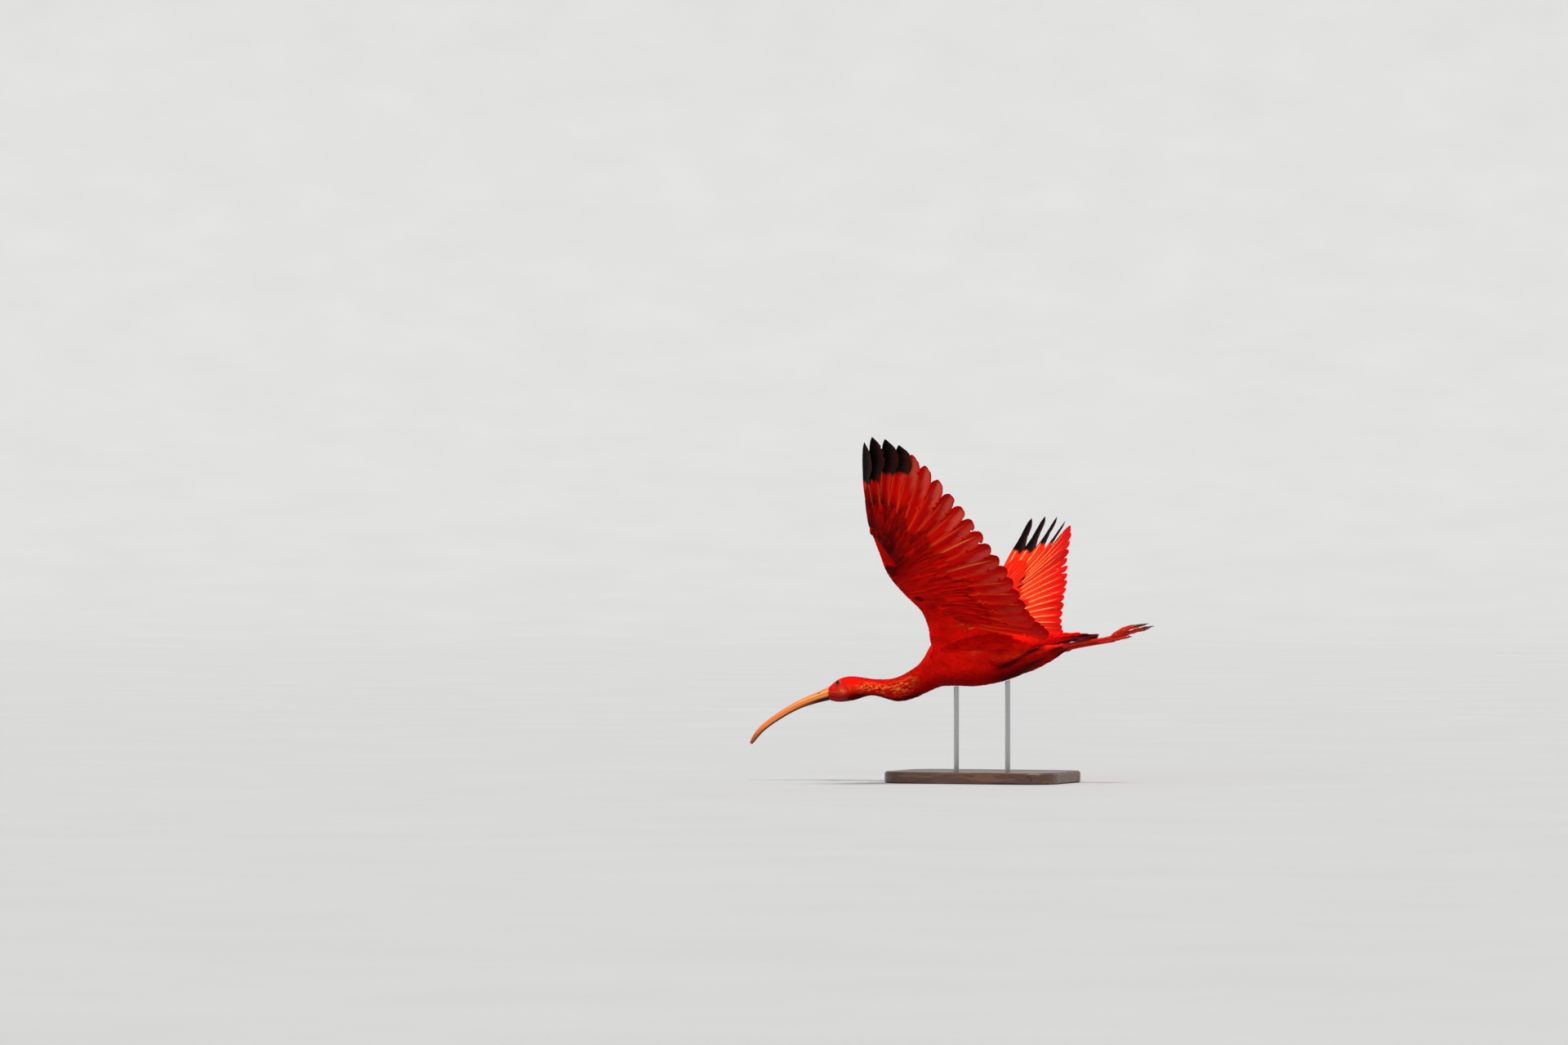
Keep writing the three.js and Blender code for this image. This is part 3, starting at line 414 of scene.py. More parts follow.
def vaneArrays(frameOf, lead, rear, t, thick, shaft, camber, ragged):
    # A closed vane: a row of points over the top and back below, at each station along it
    count, stations = len(columns), len(t)
    edge = ragged * dice.normal(size=(stations, 2))
    reach = np.where(columns < 0, lead[:, None] * -columns, -rear[:, None] * columns)
    reach = reach * (1 + np.where(columns < 0, edge[:, 0:1], edge[:, 1:2]) * np.abs(columns) ** 3)
    halfThick = thick * (1 - 0.75 * np.abs(columns))[None, :] * np.ones((stations, 1))
    shaftThick = shaft * (1 - 0.85 * t)[:, None] * np.clip(1 - np.abs(columns) / 0.09, 0, 1)[None, :]
    sag = camber * (lead + rear)[:, None] * (columns ** 2)[None, :]
    centre, side, up = frameOf["centre"], frameOf["side"], frameOf["up"]
    base = centre[:, None] + side[:, None] * reach[..., None] - up[:, None] * sag[..., None]
    top = base + up[:, None] * (halfThick + shaftThick)[..., None]
    low = base - up[:, None] * (halfThick + shaftThick * 0.8)[..., None]
    ring = np.concatenate([top, low[:, -2:0:-1]], 1)
    around = ring.shape[1]
    i, j = np.meshgrid(np.arange(stations - 1), np.arange(around), indexing="ij")
    a, b = i * around + j, i * around + (j + 1) % around
    sides = np.stack([a, b, b + around, a + around], -1).reshape(-1, 4)
    k = np.arange(count - 1)
    cap = np.stack([k, k + 1, around - k - 1, (around - k) % around], -1)
    quads = np.concatenate([sides, cap[:, ::-1], cap + (stations - 1) * around])
    faces = np.concatenate([quads[:, [0, 1, 2]], quads[:, [0, 2, 3]]])
    whole = (faces[:, 0] != faces[:, 1]) & (faces[:, 1] != faces[:, 2]) & (faces[:, 0] != faces[:, 2])
    return {
        "points": ring.reshape(-1, 3), "faces": faces[whole], "long": np.linalg.norm(centre[-1] - centre[0]),
        "t": np.repeat(t, around), "s": np.tile(np.concatenate([columns, columns[-2:0:-1]]), stations),
        "face": np.tile(np.repeat([1.0, -1.0], [count, around - count]), stations),
    }


class Plumage:
    # Collects vanes into one joined mesh with its tints and its maps
    def __init__(self):
        self.parts, self.count = [], 0

    def add(self, points, faces, bake, vane, tint, flipped):
        self.parts.append((points, (faces[:, ::-1] if flipped else faces) + self.count, bake, vane, tint))
        self.count += len(points)

    def addVane(self, vane, rect, tint, flipped):
        # rect is this vane's own place on the bake map, its two faces side by side
        x0, y0, x1, y1 = rect
        across = (vane["s"] + 1) / 2 * ((x1 - x0) / 2 * 0.92)
        bake = np.stack([np.where(vane["face"] > 0, x0 + across, (x0 + x1) / 2 + across), blend(y0, y1, vane["t"])], -1)
        unwrapped = np.stack([vane["t"] * vane["long"] / 10, vane["s"] * 0.9], -1)
        points = mirrored(vane["points"]) if flipped else vane["points"]
        self.add(points, vane["faces"], bake, unwrapped, tint, flipped)

    def piece(self, name):
        made = makeMesh(name, *(np.concatenate(part) for part in zip(*self.parts)))
        # Thin rims stay crisp, so that a feather doesn't look puffed up
        crispen(made)
        return made


# Small feathers in their thousands: a closed leaf of a few dozen faces, copied along the skin
leaf = {
    "round": [[0, 0.0], [0.1, 0.45], [0.36, 0.92], [0.68, 1.0], [0.9, 0.66], [1, 0.0]],
    "lance": [[0, 0.0], [0.12, 0.6], [0.35, 1.0], [0.62, 0.85], [0.86, 0.42], [1, 0.0]],
    "thick": 0.07, "roof": 0.09,
}


def leafFaces(rings):
    # First point, rings of four, last point
    faces = [[0, 1 + (k + 1) % 4, 1 + k] for k in range(4)]
    for r in range(rings - 1):
        a = 1 + 4 * r
        for k in range(4):
            p, q = a + k, a + (k + 1) % 4
            faces += [[p, q, q + 4], [p, q + 4, p + 4]]
    last = 1 + 4 * rings
    faces += [[last - 4 + k, last - 4 + (k + 1) % 4, last] for k in range(4)]
    return np.array(faces)


def growLeaves(plumage, surface, u, v, lieU, lieV, length, width, lift, tintOf, shape="round", rise=0.3, sway=0.0,
               flipped=False):
    # Lays one feather at each place u, v, along the skin's own lie, its tip raised by lift
    rows = np.array(leaf[shape])
    rings, count, share = len(rows) - 2, len(u), rows[:, 0]
    pu, pv = surface.slopes(u, v)
    size = np.hypot(lieU, lieV)
    rateU = lieU / size / np.linalg.norm(pu, axis=-1) * length
    rateV = lieV / size / np.linalg.norm(pv, axis=-1) * length
    bend = sway * dice.normal(size=(count, 1)) * (share ** 2) * (length / np.linalg.norm(pv, axis=-1))[:, None]
    uu, vv = u[:, None] + rateU[:, None] * share, v[:, None] + rateV[:, None] * share + bend
    path = surface.place(uu.ravel(), vv.ravel()).reshape(count, len(share), 3)
    qu, qv = surface.slopes(uu.ravel(), vv.ravel())
    normal = unit(np.cross(qu, qv)).reshape(count, len(share), 3)
    normal = np.where(dot(normal, surface.outward(uu, vv, path)) < 0, -normal, normal)
    side = unit(np.cross(normal, unit(np.gradient(path, axis=1))))
    middle = path + normal * (lift[:, None] * share ** 1.3 + rise)[..., None]
    half = (width[:, None] / 2 * rows[:, 1])[..., None]
    ridge = normal * (leaf["thick"] + half * leaf["roof"])
    low = middle + ridge * 0.4 - normal * leaf["thick"]
    ringsOf = np.stack([middle + side * half, middle + ridge, middle - side * half, low], 2)[:, 1:-1]
    points = np.concatenate([middle[:, :1], ringsOf.reshape(count, -1, 3), middle[:, -1:]], 1)
    faces = leafFaces(rings)
    each = points.shape[1]
    t = np.concatenate([[share[0]], np.repeat(share[1:-1], 4), [share[-1]]])
    s = np.concatenate([[0], np.tile([-1, 0, 1, 0], rings), [0]])
    bake = surface.unwrap(u, v)[:, None] + np.stack([s * 0.0014, (t - 0.5) * 0.0028], -1)[None]
    vane = np.stack([t * length[:, None] / 10, s * width[:, None] / 20], -1)
    tint = tintOf(u[:, None] + rateU[:, None] * t, v[:, None] + rateV[:, None] * t, t + 0 * u[:, None])
    allFaces = (faces[None] + (np.arange(count) * each)[:, None, None]).reshape(-1, 3)
    points = points.reshape(-1, 3)
    points = mirrored(points) if flipped else points
    sample = points[:each]
    a, b, c = (sample[faces[:, k]] - sample.mean(0) for k in range(3))
    inside = np.sum(np.cross(a, b) * c) < 0
    plumage.add(points, allFaces, bake.reshape(-1, 2), vane.reshape(-1, 2), tint.reshape(-1, 3), inside)


def uneven(u, share):
    # Each feather a little lighter or darker than the next
    return 1 + share * dice.normal(size=(len(u), 1, 1))


def rooted(t, dim, end):
    # Darker at the root, where the feathers in front shade it
    return (1 - dim + dim * smooth(t, 0, end))[..., None]


# Colours, as linear red, green and blue
colours = {
    "scarlet": (0.64, 0.0035, 0.0015), "bright": (0.9, 0.022, 0.004), "deep": (0.3, 0.0012, 0.001),
    # The pink of thin trailing vanes is painted light shining through them
    "dark": (0.035, 0.0006, 0.001), "gold": (0.85, 0.2, 0.035), "backlitPink": (0.8, 0.12, 0.08),
    # The brownish black of the black tips' rear vanes is painted light shining through them
    "black": (0.003, 0.002, 0.002), "backlitBrown": (0.035, 0.012, 0.008), "shaft": (0.93, 0.5, 0.17),
    "face": (0.84, 0.006, 0.003), "leg": (0.74, 0.013, 0.005), "toeEnd": (0.12, 0.035, 0.015),
    "orange": (0.8, 0.09, 0.02), "glow": (0.74, 0.003, 0.0012), "flame": (0.97, 0.006, 0.002),
}
colours = {name: np.array(value) for name, value in colours.items()}


def mixed(a, b, share):
    share = np.asarray(share, float)[..., None]
    return a * (1 - share) + b * share


def layered(tone, *layers):
    # Colours laid over a tone one after another, each by its own share
    for name, share in layers:
        tone = mixed(tone, colours[name], share)
    return tone


def ripple(points, size, seed):
    # A soft, slowly changing value from -1 to 1 over space
    turns = np.random.default_rng(seed)
    total = 0
    for k in range(5):
        way = unit(turns.normal(size=3)) * 2 * math.pi / (size * (0.7 + 0.25 * k))
        total = total + np.sin(points @ way + turns.random() * 6.3)
    return total / 2.6


# Where the black starts on the four outermost flight feathers, as a share of their length
blackFrom = [0.6, 0.61, 0.71, 0.765]


def flightTint(vane, number, shade):
    t, s, face = vane["t"], vane["s"], vane["face"]
    # The upper face is lighter than the lower, partly the feathers' own colour and partly painted light
    upper = layered(
        colours["bright"], ("scarlet", smooth(t, 0.55, 0.95)), ("gold", 0.22 * (1 - smooth(t, 0.2, 0.75))),
        # Painted shadow of the next feather: the leading vane darkens towards its edge
        ("deep", 0.5 * smooth(-s, 0.4, 1)),
    )
    # Painted shade on the lower face: deeper towards root, tip and leading vane, partly the feathers' own colour and
    # partly painted shade
    lower = layered(
        colours["glow"], ("deep", 0.45 * smooth(t, 0.5, 1) + 0.35 * (1 - smooth(t, 0.1, 0.45))),
        ("deep", 0.6 * smooth(-s, 0.25, 0.9)),
        # Painted shadow along the wrist: near-black at the base of the outer primaries
        ("dark", 0.8 * (1 - smooth(t, 0.38, 0.62)) * (1 - smooth(number + 0 * t, 1, 6))),
    )
    middle = smooth(t, 0.3, 0.5) * (1 - smooth(t, 0.75, 1))
    for stripe in dice.choice([-0.42, 0.42, 0.72], 2):
        lower = layered(lower, ("deep", 0.75 * dice.random() * np.exp(-((s - stripe) / 0.12) ** 2) * middle))
    # The trailing vane is thin, and is painted paler where no other feather lies behind it: painted light shining
    # through it
    edge = 0.95 - 0.85 * smooth(t, 0.45, 0.97)
    thin = smooth(s, edge - 0.05, edge + 0.3) * smooth(t, 0.45, 0.75) * (1 - smooth(t, 0.95, 1))
    backlitShare = 0.75 if 4 <= number < 11 else 0.5 if number < 15 else 0.15
    lower = layered(lower, ("backlitPink", thin * (0.4 + 0.6 * dice.random()) * backlitShare))
    rib = np.clip(1 - np.abs(s) / 0.075, 0, 1) * (1 - smooth(t, 0.7, 0.97))
    seen = np.where(face > 0, 1.0, (0.3 if number < 10 else 0.75) * dice.random())
    tint = layered(np.where(face[:, None] > 0, upper, lower), ("shaft", rib * seen))
    if number < len(blackFrom):
        start = blackFrom[number] + 0.012 * np.sin(9 * s + number)
        # The rear vane of each black tip is painted brownish: painted light shining through it
        dark = layered(colours["black"], ("backlitBrown", smooth(s, 0.35, 0.6) * 0.8))
        tint = mixed(tint, dark, smooth(t, start - 0.012, start + 0.012))
    return tint * shade


def covertTint(vane, face, wristShade, ribbed):
    t, s = vane["t"], vane["s"]
    tipward = smooth(t, 0.3, 0.95)
    if face > 0:
        tone = layered(colours["scarlet"], ("bright", 0.55 * tipward))
    else:
        # The lower face starts deeper, partly the coverts' own colour and partly painted shade
        tone = layered(colours["deep"], ("scarlet", 0.6 + 0.4 * tipward))
    rib = np.clip(1 - np.abs(s) / 0.07, 0, 1) * (1 - smooth(t, 0.6, 0.95))
    # Painted shade along the wrist, lighter towards each covert's tip
    shade = np.clip(wristShade * (1 - 0.6 * smooth(t, 0.45, 1)), 0, 1)
    return layered(tone, ("gold", rib * ribbed * (0.7 if face > 0 else 0.25)), ("dark", shade))


# The two wings: tiers of coverts on each face, from and to a share of the flight feather under them
wingParts = {"stations": 54, "covertStations": 11}
tiers = [
    {"face": 1, "from": -0.1, "to": 0.42, "count": 32, "sunk": 0.3, "broad": 0.9, "high": 1.0},
    {"face": -1, "from": -0.08, "to": 0.44, "count": 42, "sunk": 0.2, "broad": 0.72, "high": 1.0},
    {"face": 1, "from": -0.2, "to": 0.29, "count": 36, "sunk": 0.4, "broad": 0.8, "high": 1.4},
    {"face": -1, "from": -0.2, "to": 0.32, "count": 50, "sunk": 0.3, "broad": 0.58, "high": 1.5},
    {"face": 1, "from": -0.18, "to": 0.17, "count": 44, "sunk": 0.6, "broad": 0.68, "high": 1.6},
    {"face": -1, "from": -0.16, "to": 0.2, "count": 54, "sunk": 0.5, "broad": 0.56, "high": 1.6},
]


def outlineOf(number):
    if number < 7:
        return fingerShape if number < 4 else pointedShape
    return primaryShape if number < 10 else secondaryShape


def nicked(widths, t, depth):
    # Now and then the barbs part and leave a narrow notch in the edge
    for place in 0.5 + 0.48 * dice.random(3):
        widths = widths * (1 - depth * dice.random() * np.exp(-((t - place) / 0.011) ** 2))
    return widths


def layFlights(plumage, label, x):
    t = np.linspace(0, 1, wingParts["stations"]) ** 0.65
    freed, tips = smooth(t, 0.6, 0.85), freeTips[label]
    for number in range(flights):
        free = 1 - number / 8 if number < 4 else 0
        reach = 1 + 0.02 * (dice.random() - 0.5)
        tilt = -tips["twist"] * free * freed + 2.5 * dice.normal() * t
        frameOf = sheetFrame(label, number, t * reach, 1, 1, tilt)
        shape = readTable(outlineOf(number), t)
        lead, rear = shape[:, 0], shape[:, 1]
        opened = blend(1, tips["open"], freed) if free else np.ones_like(t)
        narrow = np.minimum(1, 3 * frameOf["spacing"] / (lead + rear * opened))
        lead = nicked(lead * narrow, t, 0.16)
        rear = nicked(rear * opened * narrow, t, 0.15 if free else 0.32)
        vane = vaneArrays(frameOf, lead, rear, t, thick=0.35, shaft=0.55, camber=0.02, ragged=0.012)
        start = x + 0.02 * number
        tint = flightTint(vane, number, 1 + 0.1 * dice.normal())
        plumage.addVane(vane, (start, 0.0, start + 0.018, 0.3), tint, label == "left")


def covertFrame(label, number, tier, step, t, shape):
    # Where a covert lies over the flight feathers: sunk into the arm at its root, clear of them further out
    start = tier["from"] * smooth(number, 7, 12)
    reach = 1 + 0.4 * (dice.random() - 0.5) + 0.12 * math.exp(-(number / 6) ** 2)
    at = start + (tier["to"] - start) * t * reach
    frameOf = sheetFrame(label, number, at, step, tier["face"], 3 * dice.normal() * t, 0.4)
    size = np.minimum(tier["broad"], 3 * frameOf["spacing"] / (shape[:, 0] + shape[:, 1]))
    lead, rear = shape[:, 0] * size, shape[:, 1] * size
    under = readTable(outlineOf(number), np.maximum(at, 0))
    overlap = (under[:, 0] if tier["face"] > 0 else under[:, 1]) + rear
    clear = frameOf["step"] * (1 + overlap / frameOf["spacing"]) * tier["high"]
    sunk = tier["sunk"] * readTable(wingRows, number)[6] * (1 - 0.3 * smooth(number, 11, 19)) * (1 - t)
    height = sunk + clear * np.minimum(1, 2.2 * t) * (1 - 0.6 * smooth(number, 18.5, 21))
    frameOf["centre"] = frameOf["centre"] + frameOf["upper"] * (tier["face"] * height)[:, None]
    return frameOf, lead, rear


def layCoverts(plumage, label, x):
    t = np.linspace(0, 1, wingParts["covertStations"]) ** 0.9
    shape = readTable(covertShape, t)
    for row, tier in enumerate(tiers):
        face, low = tier["face"], 0.1 * row
        step = 20.4 / (tier["count"] - 1)
        for k in range(tier["count"]):
            number, start = 0.6 + k * step, x + 0.008 * k
            frameOf, lead, rear = covertFrame(label, number, tier, step, t, shape)
            rear = nicked(rear, t, 0.25)
            vane = vaneArrays(frameOf, lead, rear, t, thick=0.16, shaft=0.14, camber=0.03 * face, ragged=0.03)
            # Painted shade: the lower coverts darken towards the wrist, a painted shadow along the leading edge
            wristShade = (0.68 + 0.28 * dice.random()) * (1 - smooth(number, 4, 13)) if face < 0 else 0
            mottle = max(1 + (0.07 if face > 0 else 0.24) * dice.normal(), 0.4)
            tint = covertTint(vane, face, wristShade, tier["broad"] ** 3) * mottle
            plumage.addVane(vane, (start, 0.32 + low, start + 0.0072, 0.41 + low), tint, label == "left")


def layWing(label):
    plumage = Plumage()
    x = 0.0 if label == "right" else 0.5
    layFlights(plumage, label, x)
    layCoverts(plumage, label, x)
    return plumage.piece(f"wing_feathers_{label}")


# The arm and hand as a sheet: v is the share of the chord, positive on top and negative below
upperFoil = [[-0.02, 0.02], [0, 0.06], [0.02, 0.2], [0.07, 0.36], [0.28, 0.56], [0.62, 0.34], [1, 0.05], [1.4, 0.0]]
lowerFoil = [
    [-0.02, -0.02], [0, -0.05], [0.02, -0.18], [0.07, -0.32], [0.28, -0.42], [0.62, -0.24], [1, -0.05], [1.4, 0.0],
]


def armMiddle(number, share, high):
    lead, chord, upper, thick = wingSlice(number)
    return lead + chord * share[..., None] + upper * (high * thick[..., 0])[..., None], upper


def armPoint(number, v):
    number, v = np.broadcast_arrays(np.asarray(number, float), np.asarray(v, float))
    share = np.abs(v)
    high = np.where(v >= 0, readTable(upperFoil, share)[..., 0], readTable(lowerFoil, share)[..., 0]) * 0.92
    return armMiddle(np.clip(number, -2, 25), share, high)[0]


class ArmSurface(Surface):
    steps = (0.1, 0.01)

    def outward(self, uu, vv, path):
        return armMiddle(np.clip(uu, -2, 25), np.abs(vv), 0 * uu)[1] * np.sign(vv)[..., None]

    def slopes(self, u, v):
        return super().slopes(np.clip(u, -1.8, 24.8), v)


class TubeSurface(Surface):
    def __init__(self, place, middle, patch, uRange):
        super().__init__(place, patch, uRange)
        self.middle = middle

    def outward(self, uu, vv, path):
        return path - self.middle(uu)


def bodyMiddle(u):
    row = bodyRow(u)
    return np.stack([-u, 0 * u, (row[..., 0] + row[..., 1]) / 2], -1)


bodySurface = TubeSurface(bodySkin.place, bodyMiddle, bodySkin.patch, bodySkin.uRange)
# Small feathers of the arm: chord shares, numbers, full length and length at the leading edge
armSpread = {"share": (0.01, 0.8), "numbers": (25, -1.5), "length": 17, "edge": 5.5, "row": 0.19}
# Long soft feathers from the armpit, and those of the shoulder over the wing's root
longCoats = [
    {"face": -1, "count": 260, "shares": (0.12, 0.8), "numbers": (20, 25), "length": 62, "width": 8},
    {"face": 1, "count": 200, "shares": (0.2, 0.85), "numbers": (21, 25), "length": 46, "width": 13},
]


def armPlaces(face):
    # Rows of places along the arm, closer where the feathers are short: number, chord share and length
    spots, number = [], armSpread["numbers"][0]
    while number > armSpread["numbers"][1]:
        row = readTable(wingRows, number)
        chord = np.linalg.norm(row[0:3] - row[3:6])
        share = armSpread["share"][0]
        while share < armSpread["share"][1]:
            full = min(armSpread["length"], armSpread["edge"] + 0.45 * share * chord)
            u = number + 0.12 * dice.normal()
            spots.append((u, face * max(share + 0.012 * dice.normal(), 0.006), full))
            share += armSpread["row"] * full / chord
        number -= armSpread["row"]
    return (np.array(values) for values in zip(*spots))


def armTint(face, u, v, t):
    patch = ripple(armPoint(u, v), 34, 3 if face > 0 else 5)
    if face > 0:
        tone = layered(colours["scarlet"], ("bright", np.clip(0.25 + 0.4 * t + 0.3 * patch, 0, 1)))
    else:
        # Painted shade: a dark patch under the hand, strongest near the wrist
        hand = smooth(patch + 1.1 * np.exp(-((u - 9) / 5) ** 2) - 0.2 * np.abs(v), 0.9, 1.5)
        lit = np.clip(0.55 + 0.4 * t + 0.35 * patch, 0, 1)
        tone = layered(colours["deep"], ("scarlet", lit), ("dark", hand * 0.85))
        tone = tone * (1 + 0.5 * smooth(u, 17, 22))[..., None]
    return tone * uneven(u, 0.06) * rooted(t, 0.2, 0.5)


def longTint(face, u, v, t):
    tone = layered(colours["scarlet"], ("bright", np.clip(0.3 + 0.5 * dice.random((len(u), 1)) + 0 * t, 0, 1)))
    if face < 0:
        tone = layered(tone * 0.8, ("gold", 0.7 * (dice.random((len(u), 1)) < 0.12) * smooth(t, 0.3, 0.7)))
    return tone * rooted(t, 0.3, 0.4) * uneven(u, 0.1)


def armCoat(label):
    plumage, flipped = Plumage(), label == "left"
    surface = ArmSurface(armPoint, armPatch[label], (25, -2), (-1.5, 1.5))
    for face in (-1, 1):
        u, v, length = armPlaces(face)
        inner, out = smooth(u, 19, 24), np.abs(v)
        length = length * (1 + 0.6 * inner * smooth(out, 0.1, 0.5)) * (1 + 0.1 * dice.normal(size=len(u)))
        lean = -0.55 * (1 - inner) * (1 - 0.5 * smooth(out, 0, 0.3)) - 2.2 * (1 - smooth(out, 0.01, 0.09))
        lean = lean + 0.08 * dice.normal(size=len(u))
        width = length * blend(0.5, 0.34, smooth(out, 0.02, 0.14))
        lift = (0.03 + 0.08 * smooth(out, 0.02, 0.16)) * length
        growLeaves(plumage, surface, u, v, lean, np.full(len(u), float(face)), length, width, lift,
                   partial(armTint, face), rise=0.1, flipped=flipped)
    for coat in longCoats:
        face, count = coat["face"], coat["count"]
        u = dice.uniform(*coat["numbers"], count)
        v = face * dice.uniform(*coat["shares"], count)
        length = coat["length"] * (1 - 0.45 * np.maximum(0, np.abs(v) - 0.3)) * (1 + 0.12 * dice.normal(size=count))
        rows = readTable(wingRows, u)
        length = np.minimum(length, (1.12 - np.abs(v)) * np.linalg.norm(rows[:, 0:3] - rows[:, 3:6], axis=-1))
        growLeaves(plumage, surface, u, v, 0.04 * dice.normal(size=count), np.full(count, float(face)), length,
                   np.full(count, float(coat["width"])), 1.2 + 0.02 * length, partial(longTint, face),
                   shape="lance", rise=0.6, sway=0.05, flipped=flipped)
    piece = plumage.piece(f"arm_coat_{label}")
    print(piece.name, len(piece.data.polygons), "faces")
    return piece


# Tail
tailShape = [[0, 2.5, 3], [0.35, 6.5, 9], [0.78, 8, 11.5], [0.92, 6.5, 9], [0.98, 3.6, 4.8], [1, 0.8, 1]]


def layTail():
    plumage = Plumage()
    steep = math.tan(math.radians(4))
    t = np.linspace(0, 1, 26) ** 0.8
    shape = readTable(tailShape, t)
    for pair in range(6):
        for side in (-1, 1):
            def place(forward, up, apart, shorter):
                low = (0.85 + apart * steep) * pair + (0.42 if side < 0 else 0)
                back = -(forward + shorter * pair + 0.35 * (side > 0))
                return np.array([back, side * apart * (pair + 0.5), up - low])
            start, end = place(-170, -4.5, 1.4, 0), place(-253.5, -19, 3.5, 2.2)
            along = unit(end - start)
            up = unit(np.array([0, side * steep, 1]))
            up = unit(up - (up @ along) * along)
            across = np.cross(up, along)
            across = -across if across[1] * side < 0 else across
            inner = blend(1.4, 3.5, 0.75) * (pair + 0.5) - 0.3 if pair else 5
            frameOf = {"centre": start + (end - start) * t[:, None]}
            frameOf |= {way: np.tile(value, (len(t), 1)) for way, value in (("side", across), ("up", up))}
            lead, rear = nicked(shape[:, 0], t, 0.1), np.minimum(shape[:, 1], inner * blend(0.4, 1, t))
            vane = vaneArrays(frameOf, lead, rear, t, thick=0.2, shaft=0.3, camber=0.02, ragged=0.015)
            x = 0.46 + 0.02 * (pair * 2 + (side > 0))
            rib = np.clip(1 - np.abs(vane["s"]) / 0.075, 0, 1) * (1 - smooth(vane["t"], 0.5, 0.9))
            top = layered(colours["deep"], ("scarlet", 0.45 + 0.4 * (1 - vane["t"])), ("gold", rib * 0.4))
            # Painted shade: the lower face is near-black, the shade under the tail
            low = layered(colours["deep"], ("dark", 0.85 + 0 * vane["t"]))
            tone = np.where(vane["face"][:, None] > 0, top, low)
            plumage.addVane(vane, (x, 0.32, x + 0.018, 0.62), tone * (1 + 0.08 * dice.normal()), False)
    return plumage.piece("tail_feathers")


# Legs: forward, out, up, half width, half height
legRows = [
    [-84, 35, -29, 10, 13], [-102, 34, -32, 14, 16], [-126, 28, -33.5, 13, 14.5], [-150, 21, -32.5, 10.5, 12],
    [-172, 15.5, -29.8, 7, 8], [-186, 12.9, -28.4, 3.4, 3.8], [-191, 12.3, -28.2, 3.0, 3.2],
    [-197, 12, -27.9, 4.1, 4.4], [-206, 11.8, -28, 2.8, 3.3], [-240, 11, -29.4, 2.4, 3], [-264, 10.3, -30.6, 2.6, 3],
    [-274, 10, -30.6, 3.6, 3.5],
]


def legMiddle(u):
    row = readTable(legRows, u)
    return np.stack([-np.asarray(u, float), row[..., 0], row[..., 1]], -1)


def legPoint(u, v):
    # The thigh's skin lies under its feathers, and the shank is bare, ringed by fine scutes
    u = np.asarray(u, float)
    row, middle = readTable(legRows, u), legMiddle(u)
    wide, high = row[..., 2], row[..., 3]
    depth = 2.4 * (1 - smooth(-u, 145, 184)) + 0.35
    plate = (-u / 3.1 + 0.12 * np.cos(v)) % 1.0
    scute = smooth(-u, 192, 198) * 0.22 * (smooth(plate, 0, 0.18) * (1 - smooth(plate, 0.8, 1)) - 0.6)
    grow = scute - np.minimum(depth, np.minimum(wide, high) * 0.5)
    turn = readTable(legRows, u - 1) - readTable(legRows, u + 1)
    along = unit(np.stack([np.full_like(wide, 2.0), turn[..., 0], turn[..., 1]], -1))
    across = unit(np.array([0, 1, 0]) - along * along[..., 1:2])
    up = np.cross(along, across)
    grow = grow - furrow["deep"] * furrowAt(u, middle[..., 2] + high * np.sin(v))
    return middle + across * ((wide + grow) * np.cos(v))[..., None] + up * ((high + grow) * np.sin(v))[..., None]


legPatch = {"right": (0.765, 0.01, 0.825, 0.99), "left": (0.83, 0.01, 0.89, 0.99)}
toeJoint = np.array([274, 10, -30.6])
toes = [
    {"joints": 4, "tip": [-333, 12, -22], "arch": 3.5, "thick": 3.3, "claw": 8},
    {"joints": 3, "tip": [-317, 5, -19], "arch": 4.5, "thick": 3, "claw": 7},
    {"joints": 4, "tip": [-323, 18, -23], "arch": 2.5, "thick": 3, "claw": 7},
    {"joints": 2, "tip": [-299, 7, -31.5], "arch": 0, "thick": 2.6, "claw": 6},
]


def toeWays(toe):
    # The toe's end, and its ways forwards, across and up
    tip = np.array(toe["tip"]) * [-1, 1, 1]
    direction = unit(tip - toeJoint)
    across = unit(np.array([0, 1, 0]) - direction * direction[1])
    up = np.cross(direction, across)
    return tip, direction, across, -up if up[2] < 0 else up


def toePlace(toe):
    tip, _, across, up = toeWays(toe)
    long = np.linalg.norm(tip - toeJoint)

    def place(u, v):
        u = np.asarray(u, float)
        arch = np.array([0, 0, toe["arch"]]) * (4 * u * (1 - u))[..., None]
        centre = toeJoint + (tip - toeJoint) * u[..., None] + arch
        pads = 0.9 - 0.1 * np.cos(2 * math.pi * u * toe["joints"])
        plate = (u * long / 2.3) % 1.0
        scute = 0.16 * (smooth(plate, 0, 0.25) * (1 - smooth(plate, 0.75, 1)) - 0.5) * (np.sin(v) > -0.3)
        radius = toe["thick"] * (1 - 0.3 * u) * pads - 0.15 + scute
        return centre + across * (radius * np.cos(v))[..., None] + up * (radius * np.sin(v))[..., None]
    return place


clawForm = {"rings": 12, "around": 14, "root": 1.8, "tip": 0.14, "slim": 0.78, "arch": 0.5, "droop": 1.3}


